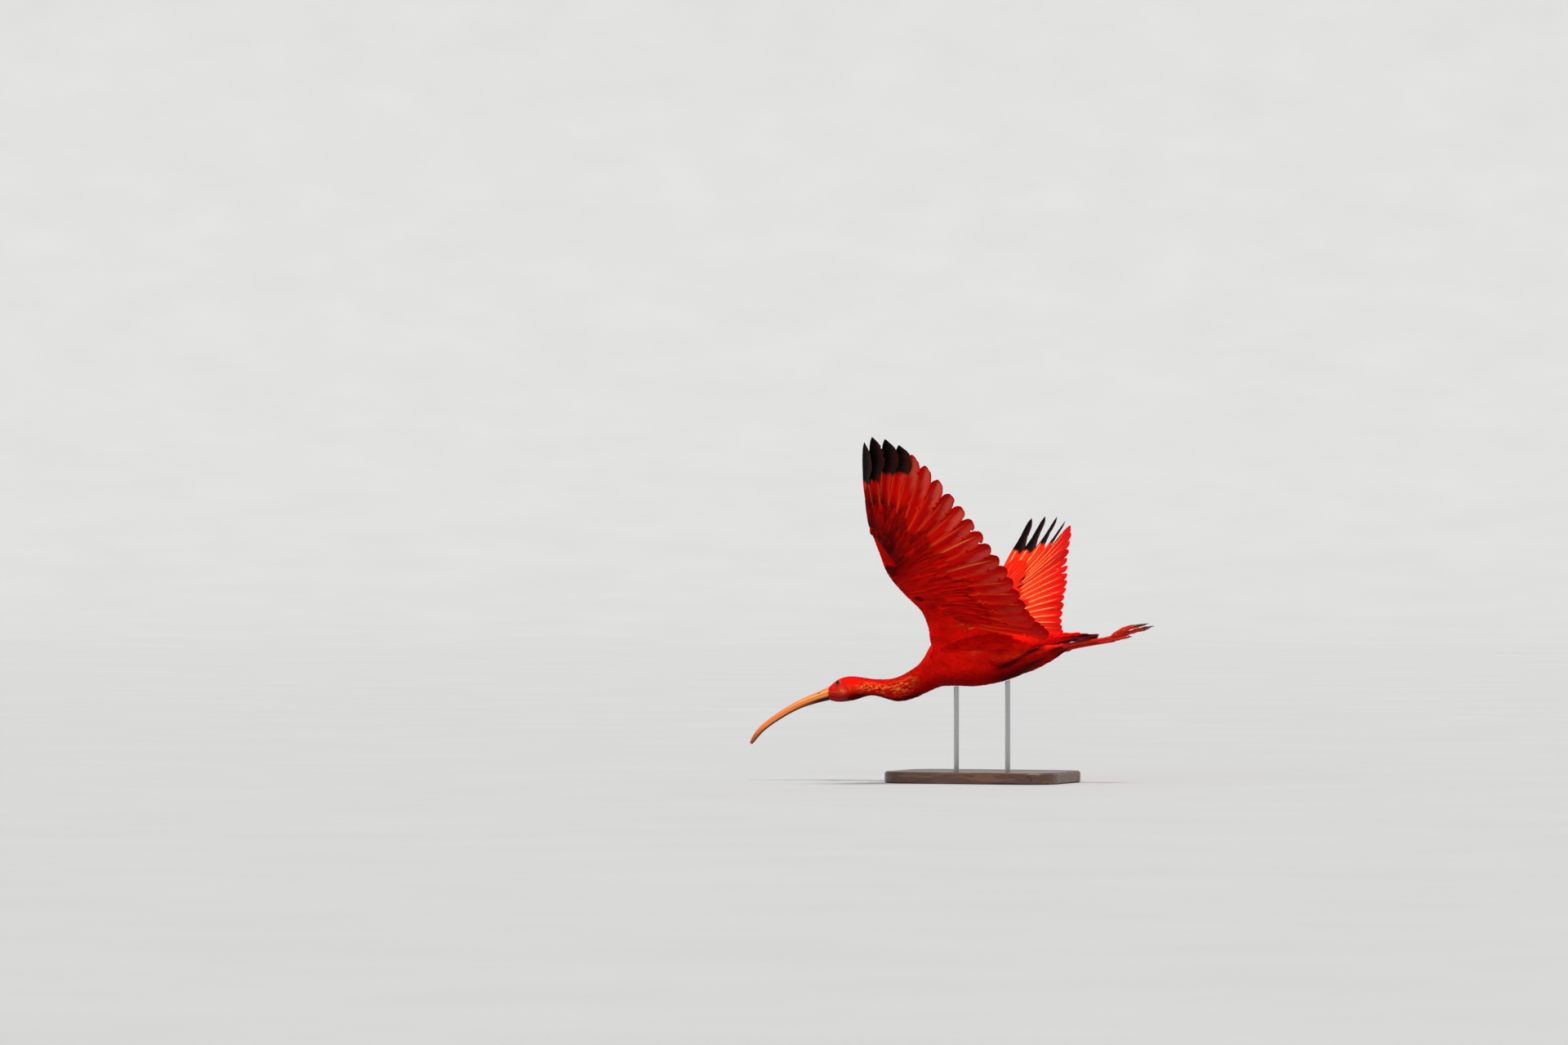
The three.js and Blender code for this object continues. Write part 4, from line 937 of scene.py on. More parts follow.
def clawPiece(name, toe, flipped):
    # A curved, tapered claw out of the toe's end
    tip, direction, across, up = toeWays(toe)
    share = np.linspace(0, 1, clawForm["rings"])
    bend = clawForm["arch"] * np.sin(math.pi * share) - clawForm["droop"] * share ** 2
    centre = tip - direction * 1.8 + direction * ((toe["claw"] + 1.6) * share)[:, None] + up * bend[:, None]
    radius = blend(clawForm["root"], clawForm["tip"], share ** 0.85)[:, None]
    angles = np.linspace(0, 2 * math.pi, clawForm["around"], endpoint=False)
    ring = centre[:, None] + across * (radius * np.cos(angles) * clawForm["slim"])[..., None]
    ring = ring + up * (radius * np.sin(angles))[..., None]
    return closedTube(name, ring, [centre[0], centre[-1] + direction * 0.15], flipped)


# Bill
billLine = [[196.5, -21.6], [223, -24.6], [252, -29.2], [281, -37.8], [311, -50.2], [327, -60.6], [340.5, -74]]
billDepth = [10.2, 7.8, 6.2, 5.4, 4.8, 4.2, 2.7]
billWidth = [8.6, 6.4, 5.2, 4.6, 4.3, 4.1, 2.8]
# Right halves of the bill's sections, as shares of its width and depth
upperSection = [
    [1, 0], [1.0, 0.12], [0.99, 0.24], [0.9, 0.36], [0.82, 0.42], [0.81, 0.5], [0.84, 0.6], [0.76, 0.76], [0.5, 0.92],
    [0.24, 0.985], [0, 1],
]
lowerSection = [[0.94, 0], [0.95, -0.2], [0.9, -0.42], [0.72, -0.7], [0.5, -0.88], [0.22, -0.98], [0, -1]]
sideways = np.array([0, 1, 0])
nostril = {"from": 0.52, "long": 0.3, "up": 0.48, "out": 0.84, "wide": 1.7, "high": 0.75}


def billFrame(at):
    rows = [[i, *billLine[i], billDepth[i], billWidth[i]] for i in range(len(billLine))]
    last = len(rows) - 1
    row = readTable(rows, at)
    step = readTable(rows, np.minimum(at + 0.05, last)) - readTable(rows, np.maximum(at - 0.05, 0))
    along = unit(np.stack([-step[:, 0], 0 * step[:, 0], step[:, 1]], -1))
    normal = np.cross(along, [0, 1, 0])
    normal = np.where(normal[:, 2:3] < 0, -normal, normal)
    centre = np.stack([-row[:, 0], 0 * row[:, 0], row[:, 1]], -1)
    return centre, normal, row[:, 2], row[:, 3]


def billTint(side, t, high):
    base = np.array([0.9, 0.24, 0.06])
    if side > 0:
        # Painted highlight: a yellow glint along the side, towards the root
        glow = np.exp(-((high - 0.3) / 0.25) ** 2) * (1 - smooth(t, 0.25, 0.6))
        tint = mixed(mixed(base, np.array([0.95, 0.42, 0.09]), glow), np.array([0.8, 0.2, 0.1]), smooth(high, 0.6, 1))
        return mixed(tint, colours["deep"] * 1.5, 0.75 * smooth(t, 0.72, 1) + 0 * high)
    # Darker underside, strongest near the root: partly the mandible's own dark colour and partly painted shade
    under = np.maximum(smooth(-high, 0.3, 0.7) * (1 - smooth(t, 0.12, 0.45)), 0.9 * smooth(-high, 0.6, 0.9))
    return layered(mixed(base, np.array([0.02, 0.002, 0.002]), under), ("dark", 0.6 * smooth(t, 0.6, 1) + 0 * high))


def billPiece(name, half, side):
    # Half of the bill: its section is run along the line, and rounded off at the tip
    at = np.concatenate([np.linspace(0, 5.6, 110), 6 - 0.4 * np.linspace(0.95, 0, 16) ** 1.6])
    centre, normal, depth, width = billFrame(at)
    section = half + [[-x, y] for x, y in half[-2::-1]]
    fine = readTable([[i, *p] for i, p in enumerate(section)], np.linspace(0, len(section) - 1, 57))
    tip = np.clip((6 - at) / 0.35, 0, 1) ** 0.5 * 0.9 + 0.1
    ridges = 1 + 0.012 * np.sin(at * 90) * (1 - smooth(at, 0.2, 1.6))
    out = fine[None, :, 0] * (width * tip * ridges)[:, None]
    up = side * 0.15 + fine[None, :, 1] * (depth * blend(0.6, 1, tip))[:, None]
    points = centre[:, None] + sideways * out[..., None] + normal[:, None] * up[..., None]
    t = np.concatenate([np.repeat(at / 6, len(fine)), [0, 1]])
    high = np.concatenate([np.tile(fine[:, 1], len(at)), [0, 0]])
    return closedTube(name, points, vaneUv=np.stack([t * 16, high], -1), tint=billTint(side, t, high))


def nostrilCut(side):
    # A long slit in the groove near the bill's root, on one side
    share = np.linspace(0, 1, 13)
    centre, normal, depth, width = billFrame(nostril["from"] + nostril["long"] * share)
    out = sideways * (side * width * nostril["out"])[:, None]
    centre = centre + normal * (depth * nostril["up"])[:, None] + out
    full = np.sin(math.pi * np.clip(share, 0.03, 0.97))[:, None] ** 0.6
    angles = np.linspace(0, 2 * math.pi, 12, endpoint=False)
    ring = centre[:, None] + sideways * (nostril["wide"] * full * np.cos(angles))[..., None]
    ring = ring + normal[:, None] * (nostril["high"] * full * np.sin(angles))[..., None]
    total = len(share) * len(angles) + 2
    return closedTube("nostril_cut", ring, vaneUv=np.zeros((total, 2)), tint=np.tile(colours["dark"], (total, 1)))


# The lids' rim round the eye: its half width and height, how far forward it stands, its thickness and its steps
lids = {"wide": 4.15, "high": 3.75, "forward": 3.45, "thick": 0.95, "around": 72, "section": 14}


# Skin of the whole bird
def eyeWays(flip):
    looks = unit(np.array(eye["looks"]) * [-1, flip, 1])
    across = unit(np.cross([0, 0, 1], looks))
    return looks, across, np.cross(looks, across)


def eyeCentre(flip):
    return np.array([-eye["forward"], flip * eye["out"], eye["up"]])


def ballPiece(name, centre, radius, segments=48, rings=32):
    deselectAll()
    place = inWorld([centre])[0]
    bpy.ops.mesh.primitive_uv_sphere_add(segments=segments, ring_count=rings, radius=radius / 1000, location=place)
    ball = bpy.context.object
    ball.name = ball.data.name = name
    bpy.ops.object.transform_apply(location=True, rotation=True, scale=True)
    ball.data.shade_smooth()
    return ball


def lidRing(flip):
    # The fleshy rim round one eye, thicker above, finely creased
    looks, across, up = eyeWays(flip)
    major, minor = lids["around"], lids["section"]
    i, j = np.meshgrid(np.arange(major), np.arange(minor), indexing="ij")
    a, b = i / major * 2 * math.pi, j / minor * 2 * math.pi
    rim = lids["thick"] + 0.2 * np.sin(a) + 0.06 * np.sin(23 * a) * (np.cos(b) > 0)
    reach = rim * np.cos(b)
    x = (lids["wide"] * (1 + 0.03 * np.cos(2 * a)) + reach) * np.cos(a)
    y = (lids["high"] + reach) * np.sin(a)
    z = lids["forward"] + rim * 0.8 * np.sin(b) - 0.028 * (x * x)
    points = eyeCentre(flip) + across * x[..., None] + up * y[..., None] + looks * z[..., None]
    nextI, nextJ = (i + 1) % major * minor, (j + 1) % minor
    faces = np.stack([i * minor + j, nextI + j, nextI + nextJ, i * minor + nextJ], -1).reshape(-1, 4)
    ring = makeMesh("lids", points.reshape(-1, 3), faces, bakeUv=np.tile([[0.44, 0.98]], (major * minor, 1)))
    pick(ring)
    closeUp()
    return ring


def faceRelief(forward, angle):
    # Folds of the bare face: the line of the mouth under the eye, a crease behind the cheek, fine wrinkles
    row = readTable(bodyRows, forward)
    up = (row[..., 0] + row[..., 1]) / 2 + (row[..., 0] - row[..., 1]) / 2 * np.sin(angle)
    above = up - mouthUp(forward)
    gape = 0.6 * np.exp(-(above / 0.55) ** 2) - 0.3 * np.exp(-((above - 1.5) / 0.8) ** 2)
    gape = gape * smooth(forward, 168, 174)
    crease = 0.45 * np.exp(-((forward - 165 - 0.12 * (up + 20)) / 1.6) ** 2) * smooth(-up, 12, 20)
    wrinkle = 0.07 * np.sin(forward * 2.4 + 0.25 * up) * np.sin(0.9 * up + forward * 0.35)
    rounds = 0.12 * np.sin(1.6 * np.hypot(forward - eye["forward"], up - eye["up"]))
    wrinkle = (wrinkle + rounds) * smooth(forward, 165, 172)
    cheek = 0.5 * np.exp(-((forward - 174) / 8) ** 2 - ((up + 33) / 4) ** 2)
    return (cheek + wrinkle - gape - crease) * (1 - smooth(forward, 190, 197))


def faceFelt(forward, angle):
    # The skin under the coat, with the face's folds
    depth = coatDepth(forward)
    folded = bodyPoint(forward, angle, faceRelief(forward, angle) - depth)
    return folded + bodyFelt(forward, angle) - bodyPoint(forward, angle, -depth)


def steps(*runs):
    return np.concatenate([np.linspace(*run) for run in runs])


print("skin")
bodyWithFace = Surface(faceFelt, bodySkin.patch, bodySkin.uRange)
skin = skinTube("skin", bodyWithFace, steps((-224, 38, 60), (41, 136, 34), (136.7, 199, 100)), 144)
for label, flip in flips.items():
    def onSide(place, patch, uRange, vRange=(0, 2 * math.pi), way=np.array([1, flip, 1])):
        return Surface(lambda u, v: place(u, v) * way, patch, uRange, vRange)

    core = onSide(lambda u, v: corePoint(u, v, -1.0), armPatch[label], (25, -2), (0, 1))
    addSolid(skin, skinTube(f"core_{label}", core, steps((25, -2, 60)), 40))
    leg = onSide(legPoint, legPatch[label], (-84, -274))
    addSolid(skin, skinTube(f"leg_{label}", leg, steps((-84, -190, 36), (-190.5, -274, 170)), 28))
    low, high = (0.01, 0.3) if flip > 0 else (0.31, 0.6)
    for index, toe in enumerate(toes):
        x = 0.895 + 0.025 * index
        one = onSide(toePlace(toe), (x, low, x + 0.023, high), (0, 1))
        addSolid(skin, skinTube(f"toe_{label}_{index}", one, steps((-0.02, -0.02, 1), (0, 1, 80)), 16))
    addSolid(skin, lidRing(flip))
    addSolid(skin, ballPiece("socket", eyeCentre(flip), eye["radius"] + 0.12), "DIFFERENCE")


def birdPlaces(mesh):
    flat = np.empty(len(mesh.vertices) * 3)
    mesh.vertices.foreach_get("co", flat)
    return (flat.reshape(-1, 3) * 1000 - shoulder) @ np.linalg.inv(birdTurn)


def sidePatch(place, forward, up, long, high):
    # A soft patch of colour on both flanks, by its place along the bird and its height
    return np.exp(-((-place[..., 0] - forward) / long) ** 2 - ((place[..., 2] - up) / high) ** 2)


def cheekTone(tone, place):
    # The orange mottling of the cheek, on skin and feathers alike
    patch = sidePatch(place, 168, -25, 11, 5.5) * (0.8 + 0.5 * ripple(place, 7, 23) + 0.3 * ripple(place, 3, 27))
    return layered(tone, ("orange", np.clip(0.9 * patch, 0, 0.8)), ("gold", np.clip(1.5 * patch - 0.85, 0, 0.5)))


def skinTint(points):
    forward, out, up = -points[:, 0], np.abs(points[:, 1]), points[:, 2]
    above = up - mouthUp(forward)
    bare = layered(colours["face"], ("scarlet", np.clip(0.5 + 0.5 * ripple(points, 6, 23), 0, 1)))
    bare = layered(
        cheekTone(bare, points),
        ("orange", 0.7 * np.exp(-((above - 1.3) / 0.8) ** 2) * smooth(forward, 168, 174)),
        # Painted shade: a dark line in the mouth's crease, deeper skin below it and dark skin under the chin
        ("dark", 0.7 * np.exp(-(above / 0.5) ** 2) * smooth(forward, 170, 176)),
        ("deep", 0.95 * smooth(-above, 0, 6)), ("dark", 0.8 * smooth(-up, 35, 40)),
    )
    eyeFront = [-eye["forward"], eye["out"] + 2.6, eye["up"] + 0.9]
    apart = np.linalg.norm(np.stack([points[:, 0], out, up], -1) - eyeFront, axis=1)
    # A paler orange rim round the eye, its own colour, made stronger on top as a painted highlight
    ring = np.exp(-((apart - 4.6) / 1.1) ** 2) * (0.35 + 0.5 * smooth(up, -12, -6))
    tone = mixed(np.tile(colours["deep"], (len(points), 1)), bare, smooth(forward, 158, 166))
    limb = layered(
        colours["leg"] * 0.85, ("orange", np.clip(0.2 * ripple(points, 14, 31), 0, 0.5)),
        ("toeEnd", 0.9 * smooth(-forward, 306, 326)),
        ("gold", 0.25 * np.clip(ripple(points, 7, 41), 0, 1) * smooth(-forward, 268, 276)),
        # Painted shade: darker on the lowest parts of shanks and toes
        ("dark", 0.35 * smooth(-up, 31, 34)),
    )
    return np.clip(mixed(layered(tone, ("orange", ring)), limb, smooth(-forward, 186, 192)), 0, 1)


paint(skin.data, skinTint(birdPlaces(skin.data)))
skin.data.shade_smooth()
print("skin faces", len(skin.data.polygons))

wings = {label: layWing(label) for label in flips}
arms = {label: armCoat(label) for label in flips}
tailPiece = layTail()
print("wings and tail laid")


# Long feathers of the shoulder, which close the gap behind the wing's root
scapulars = {"count": 150, "forward": (-78, -2), "angle": (0.12, 0.85), "length": 40, "lift": 4.5}


def scapularTint(u, v, t):
    share = np.clip(0.2 + 0.5 * dice.random((len(u), 1)) + 0.3 * t, 0, 1)
    return mixed(colours["scarlet"] * 0.8, colours["glow"], share) * rooted(t, 0.25, 0.4)


def scapularCoat(label):
    plumage, count = Plumage(), scapulars["count"]
    u = dice.uniform(*scapulars["forward"], count)
    v = dice.uniform(*scapulars["angle"], count)
    length = scapulars["length"] * (1 + 0.15 * dice.normal(size=count)) * blend(0.7, 1.1, smooth(-u, 0, 70))
    lieV = -0.16 + 0.06 * dice.normal(size=count)
    lift = scapulars["lift"] * (1 + 0.2 * dice.normal(size=count))
    growLeaves(plumage, bodySurface, u, v, -np.ones(count), lieV, length, length * 0.26, lift, scapularTint,
               shape="lance", sway=0.03, rise=1.2, flipped=label == "left")
    return plumage.piece(f"scapulars_{label}")


# Body feathers
def bodyTint(u, v, t):
    place, high = bodyPoint(u, v), np.sin(v)
    patch, spot = ripple(place, 44, 7), ripple(place, 13, 9)
    # Painted light: lighter on the upper side, on a broad patch of the flank and towards each feather's tip, with slow
    # random patches besides
    lit = 0.45 + 0.3 * high + 0.2 * t + 0.25 * patch + sidePatch(place, -36, -8, 42, 17)
    # Painted highlights: small orange glints on the flank and a broad, weaker one along the back
    glint = sidePatch(place, -66, -16, 9, 4) + sidePatch(place, -98, -10, 11, 4)
    glint = glint + sidePatch(place, -60, 30, 60, 12) * 0.4
    single = 0.7 * smooth(u, -30, 20) * (dice.random((len(u), 1)) - 0.45)
    mottle = (0.3 - 0.2 * smooth(high, 0, 0.6)) * spot + single
    tone = layered(
        colours["scarlet"], ("flame", np.clip(lit, 0, 1)), ("orange", np.clip(glint * (0.8 + 0.5 * spot), 0, 0.9)),
        # Random mottling, then painted shade under the body, near-black towards the belly and vent
        ("deep", np.clip(mottle, 0, 1) * (1 - smooth(u, 46, 70))), ("deep", 0.85 * smooth(-high, 0.5, 0.95)),
        ("dark", 0.85 * smooth(-high, 0.7, 1.0) * smooth(-u, 50, 100)),
        # Painted shadow in the furrow between flank and thigh
        ("dark", 0.97 * furrowAt(u, place[..., 2]) ** 0.6),
    )
    # The neck is streaked with gold in clumps, most along its sides
    neck = smooth(u, 36, 66)
    flank = np.exp(-((high + 0.12) / 0.42) ** 2)
    clump = 0.5 * ripple(place * [0.2, 1, 1], 5, 17) + 1.3 * (dice.random((len(u), 1)) - 0.5)
    clump = smooth(clump, -0.25, 0.35)
    crown = smooth(u, 128, 142) * smooth(high, -0.25, 0.25)
    streak = clump * flank * neck * (1 - 0.9 * crown) * (1 - smooth(u, 140, 156)) * (0.3 + 0.7 * smooth(t, 0.2, 0.7))
    nape = 0.55 * smooth(u, 104, 124) * (1 - smooth(u, 166, 176)) * smooth(high, 0.5, 0.95)
    between = neck * (1 - smooth(u, 138, 152)) * (1 - clump) * 0.45
    tone = layered(tone, ("deep", between), ("gold", streak), ("deep", nape))
    # Painted shade: darkened under the cheek and along the neck's underside
    throatShade = sidePatch(place, 156, -37, 10, 4.5) + smooth(-high, 0.7, 1) * smooth(u, 40, 60)
    return layered(cheekTone(tone, place), ("dark", np.clip(0.8 * throatShade, 0, 0.85))) * uneven(u, 0.06)


coatShape = {"rump": 24, "body": 14, "neck": 15, "head": 4.2}


def featherLength(u):
    length = blend(coatShape["body"], coatShape["neck"], smooth(u, 20, 60))
    length = blend(length, coatShape["head"], smooth(u, 116, 158))
    return blend(length, coatShape["rump"], smooth(-u, 130, 185)) - 0.8 * smooth(u, 160, 170)


def slimness(u):
    return blend(0.4, 0.22, smooth(u, 25, 60)) + 0.1 * smooth(u, 120, 155)


def bodyCoat(name, fromU, toU, shape, across=0.58, along=0.18):
    # Rows round the body, each feather a little off its place, thinning out over the bare face
    plumage = Plumage()
    us, vs = [], []
    u, row = fromU, 0
    while u > toU:
        sizes, length = bodyRow(u), float(featherLength(u))
        girth = math.pi * (sizes[2] + (sizes[0] - sizes[1]) / 2)
        count = max(int(girth / (length * float(slimness(u)) * across)), 8)
        us.append(u + dice.normal(size=count) * length * along * 0.3)
        turn = np.arange(count) + 0.5 * (row % 2) + 0.16 * dice.normal(size=count)
        vs.append(turn / count * 2 * math.pi)
        u -= length * along
        row += 1
    u, v = np.concatenate(us), np.concatenate(vs)
    margin = 163 + 10 * smooth(np.sin(v), 0.2, 0.95) + 2.5 * np.sin(3 * v + 1) + 5 * dice.random(len(u)) ** 2
    u, v = u[u < margin], v[u < margin]
    length = featherLength(u) * (1 + 0.1 * dice.normal(size=len(u)))
    shaggy = smooth(u, 36, 66) * (1 - smooth(u, 140, 160))
    lift = length * (0.09 + 0.02 * shaggy + (0.008 + 0.014 * shaggy) * dice.normal(size=len(u)))
    lieV = (0.03 + 0.12 * shaggy) * dice.normal(size=len(u))
    rise = (0.12 - 0.05 * smooth(u, 150, 168))[:, None]
    growLeaves(plumage, bodySurface, u, v, -np.ones(len(u)), lieV, length, length * slimness(u), lift, bodyTint,
               shape=shape, sway=0.03, rise=rise)
    piece = plumage.piece(name)
    print(name, len(u), "feathers", len(piece.data.polygons), "faces")
    return piece


thighCoat = {"count": 2400, "forward": (84, 189), "length": (14, 9), "width": 0.3, "lift": 0.1}


def legTint(u, v, t):
    place, high = legPoint(u, v), np.sin(v)
    # Painted light and shade: lighter on top and deeper below, a painted shadow in the furrow and painted shade under
    # the thigh's lower end
    tone = layered(
        colours["scarlet"], ("bright", np.clip(0.4 + 0.3 * high + 0.2 * t + 0.3 * ripple(place, 18, 13), 0, 1)),
        ("deep", 0.7 * smooth(-high, 0, 0.8)), ("dark", 0.97 * furrowAt(u, place[..., 2]) ** 0.6),
        ("dark", 0.8 * smooth(-u, 165, 185) * smooth(-high, -0.2, 0.6)),
    )
    return tone * uneven(u, 0.06)


def legCoat(label):
    plumage, count = Plumage(), thighCoat["count"]
    surface = TubeSurface(legPoint, legMiddle, legPatch[label], (-84, -274))
    u = -dice.uniform(*thighCoat["forward"], count)
    v = dice.uniform(0, 2 * math.pi, count)
    length = blend(*thighCoat["length"], smooth(-u, 110, 180)) * (1 + 0.12 * dice.normal(size=count))
    lieV = 0.08 * dice.normal(size=count)
    lift = length * (thighCoat["lift"] + 0.02 * dice.normal(size=count))
    growLeaves(plumage, surface, u, v, -np.ones(count), lieV, length, length * thighCoat["width"], lift, legTint,
               shape="lance", sway=0.04, rise=0.12, flipped=label == "left")
    return plumage.piece(f"thigh_coat_{label}")


coats = [
    bodyCoat("coat_head", 178, 122, "round"), bodyCoat("coat_neck", 122, 34, "lance", 0.55, 0.15),
    bodyCoat("coat_breast", 34, -62, "round"), bodyCoat("coat_rump", -62, -214, "round"),
]
thighs = {label: legCoat(label) for label in flips}
shoulders = [scapularCoat(label) for label in flips]

# Eyes, bill and claws
bills = [billPiece("bill_top", upperSection, 1), billPiece("bill_under", lowerSection, -1)]
for side in (1, -1):
    addSolid(bills[0], nostrilCut(side), "DIFFERENCE")
crispen(bills[0])
eyes = {label: ballPiece(f"eyeball_{label}", eyeCentre(flip), eye["radius"], 64, 40) for label, flip in flips.items()}
claws = []
for label in flips:
    claws += [clawPiece(f"claw_{label}_{index}", toe, label == "left") for index, toe in enumerate(toes)]
print("bill, eyes and claws made")


# Materials
class Socket:
    # A shader socket that can be used in sums
    def __init__(self, finish, socket):
        self.finish, self.socket = finish, socket

    def maths(self, operation, *values):
        return self.finish.node("ShaderNodeMath", {"operation": operation}, dict(enumerate(values)))[0]

    def __add__(self, other): return self.maths("ADD", self, other)
    def __radd__(self, other): return self.maths("ADD", other, self)
    def __sub__(self, other): return self.maths("SUBTRACT", self, other)
    def __rsub__(self, other): return self.maths("SUBTRACT", other, self)
    def __mul__(self, other): return self.maths("MULTIPLY", self, other)
    def __rmul__(self, other): return self.maths("MULTIPLY", other, self)
    def sine(self): return self.maths("SINE", self)
    def size(self): return self.maths("ABSOLUTE", self)


class Finish:
    # A material and its nodes
    names = {
        "colour": "Base Color", "roughness": "Roughness", "metallic": "Metallic", "normal": "Normal",
        "coat": "Coat Weight", "coatRough": "Coat Roughness", "specular": "Specular IOR Level",
        "under": "Subsurface Weight", "underScale": "Subsurface Scale", "underRadius": "Subsurface Radius",
    }

    def __init__(self, name):
        self.material = bpy.data.materials.new(name)
        self.material.use_nodes = True
        self.tree = self.material.node_tree
        self.shader = self.tree.nodes["Principled BSDF"]

    def feed(self, target, value):
        if isinstance(value, Socket):
            self.tree.links.new(value.socket, target)
        else:
            target.default_value = value

    def node(self, kind, settings=None, values=None):
        made = self.tree.nodes.new(kind)
        for key, value in (settings or {}).items():
            if key == "stops":
                while len(made.color_ramp.elements) < len(value):
                    made.color_ramp.elements.new(0.5)
                for element, (at, colour) in zip(made.color_ramp.elements, value):
                    element.position, element.color = at, (*colour, 1)
            else:
                setattr(made, key, value)
        for key, value in (values or {}).items():
            self.feed(made.inputs[key], value)
        return [Socket(self, out) for out in made.outputs if out.enabled]

    def set(self, **values):
        for key, value in values.items():
            self.feed(self.shader.inputs[self.names[key]], value)

    def place(self):
        return self.node("ShaderNodeTexCoord")[3]

    def stretched(self, scale):
        return self.node("ShaderNodeMapping", {}, {"Vector": self.place(), "Scale": scale})[0]

    def noise(self, scale, detail=4.0, vector=None, rough=0.55):
        values = {"Vector": vector or self.place(), "Scale": scale, "Detail": detail, "Roughness": rough}
        return self.node("ShaderNodeTexNoise", {}, values)[0]

    def vector(self, x, y):
        return self.node("ShaderNodeCombineXYZ", {}, {0: x, 1: y, 2: 0.0})[0]

    def ramp(self, value, stops):
        return self.node("ShaderNodeValToRGB", {"stops": stops}, {0: value})[0]

    def shaded(self, colour, shade):
        # A colour made darker or lighter by a plain value
        grey = self.node("ShaderNodeCombineColor", {}, {0: shade, 1: shade, 2: shade})[0]
        return self.node("ShaderNodeVectorMath", {"operation": "MULTIPLY"}, {0: colour, 1: grey})[0]

    def bump(self, height, distance, strength=1.0):
        return self.node("ShaderNodeBump", {}, {"Height": height, "Distance": distance, "Strength": strength})[0]

    def tint(self):
        return self.node("ShaderNodeVertexColor", {"layer_name": "tint"})[0]

    def split(self, uvMap):
        uv = self.node("ShaderNodeUVMap", {"uv_map": uvMap})[0]
        return self.node("ShaderNodeSeparateXYZ", {}, {0: uv})[:2]


def dress(piece, finish):
    piece.data.materials.clear()
    piece.data.materials.append(finish.material)


def featherFinish(name, gloss, under):
    # Barbs slant off the shaft, in bundles that part here and there
    finish = Finish(name)
    along, across = finish.split("vane")
    slant = along - across.size() * 0.9
    barbs = (slant * 110).sine()
    bundles = finish.noise(1.0, 3.0, finish.vector(slant * 14, across * 1.2), 0.7)
    strands = finish.noise(1.0, 3.0, finish.vector(along * 0.3, across * 6), 0.6)
    speck = finish.noise(110.0, 3.0)
    shade = 0.38 + bundles * 0.5 + speck * 0.3 + strands * 0.46 + barbs * 0.03
    finish.set(colour=finish.shaded(finish.tint(), shade), roughness=gloss, specular=0.02,
               normal=finish.bump(bundles * 1.4 + barbs * 0.12, 0.0004, 0.7))
    if under:
        finish.set(under=under, underScale=0.0016, underRadius=(1.0, 0.12, 0.06))
    return finish


def skinFinish():
    finish = Finish("bare_skin")
    values = {"Vector": finish.stretched((1, 1, 1.3)), "Scale": 900.0}
    creases = finish.node("ShaderNodeTexVoronoi", {"feature": "DISTANCE_TO_EDGE"}, values)[0]
    speck = finish.noise(420.0, 5.0)
    finish.set(colour=finish.shaded(finish.tint(), 0.62 + speck * 0.6), roughness=0.42 + speck * 0.2, specular=0.12,
               normal=finish.bump(creases * 3 + speck * 0.6, 0.0002, 0.6))
    return finish


def hornFinish():
    finish = Finish("bill_horn")
    along, high = finish.split("vane")
    grain = finish.noise(1.6, 5.0, finish.vector(along * 0.5, high * 7))
    speck = finish.noise(380.0, 4.0)
    finish.set(colour=finish.shaded(finish.tint(), 0.66 + grain * 0.45 + speck * 0.25), roughness=0.36 + speck * 0.2,
               specular=0.14, under=0.08, underScale=0.0015, normal=finish.bump(grain * 0.8 + speck * 0.3, 0.0003, 0.5))
    return finish


def eyeFinish(label, flip):
    # Pupil and iris by the distance from the way the eye looks
    finish = Finish(f"eye_{label}")
    looks, _, _ = eyeWays(flip)
    front = inWorld([eyeCentre(flip) + looks * eye["radius"]])[0]
    gap = finish.node("ShaderNodeVectorMath", {"operation": "DISTANCE"}, {0: finish.place(), 1: tuple(front)})[-1]
    speck = finish.noise(1400.0, 3.0)
    colour = finish.ramp(gap * 200 + (speck - 0.5) * 0.06, [
        (0.0, (0.001, 0.001, 0.001)), (0.36, (0.001, 0.001, 0.001)), (0.4, (0.04, 0.003, 0.002)),
        (0.56, (0.06, 0.005, 0.003)), (0.68, (0.02, 0.003, 0.002)), (1.0, (0.01, 0.002, 0.002)),
    ])
    finish.set(colour=colour, roughness=0.08, specular=0.15, coat=0.28, coatRough=0.02)
    return finish


def clawFinish():
    finish = Finish("claw_horn")
    speck = finish.noise(500.0, 4.0)
    finish.set(colour=finish.ramp(speck, [(0.3, (0.012, 0.006, 0.005)), (0.7, (0.05, 0.02, 0.012))]), roughness=0.35,
               normal=finish.bump(speck, 0.0002, 0.4))
    return finish


def woodFinish():
    finish = Finish("dark_wood")
    grain = finish.noise(9.0, 8.0, finish.stretched((1.2, 14, 14)), 0.6)
    pores = finish.noise(60.0, 3.0, finish.stretched((1.5, 22, 22)), 0.6)
    rings = (grain * 34).sine()
    colour = finish.ramp(grain * 0.75 + rings * 0.06 + pores * 0.2, [
        (0.3, (0.035, 0.014, 0.008)), (0.5, (0.1, 0.042, 0.02)), (0.72, (0.19, 0.09, 0.042)),
    ])
    finish.set(colour=colour, roughness=0.34 + pores * 0.18, coat=0.25, coatRough=0.18,
               normal=finish.bump(pores + rings * 0.1, 0.0003, 0.35))
    return finish


def steelFinish():
    finish = Finish("steel_rod")
    brush = finish.noise(60.0, 3.0, finish.stretched((0.4, 0.4, 40)), 0.6)
    finish.set(colour=finish.ramp(brush, [(0.3, (0.42, 0.42, 0.43)), (0.7, (0.6, 0.6, 0.61))]), metallic=1.0,
               roughness=0.24 + brush * 0.16, normal=finish.bump(brush, 0.0001, 0.3))
    return finish


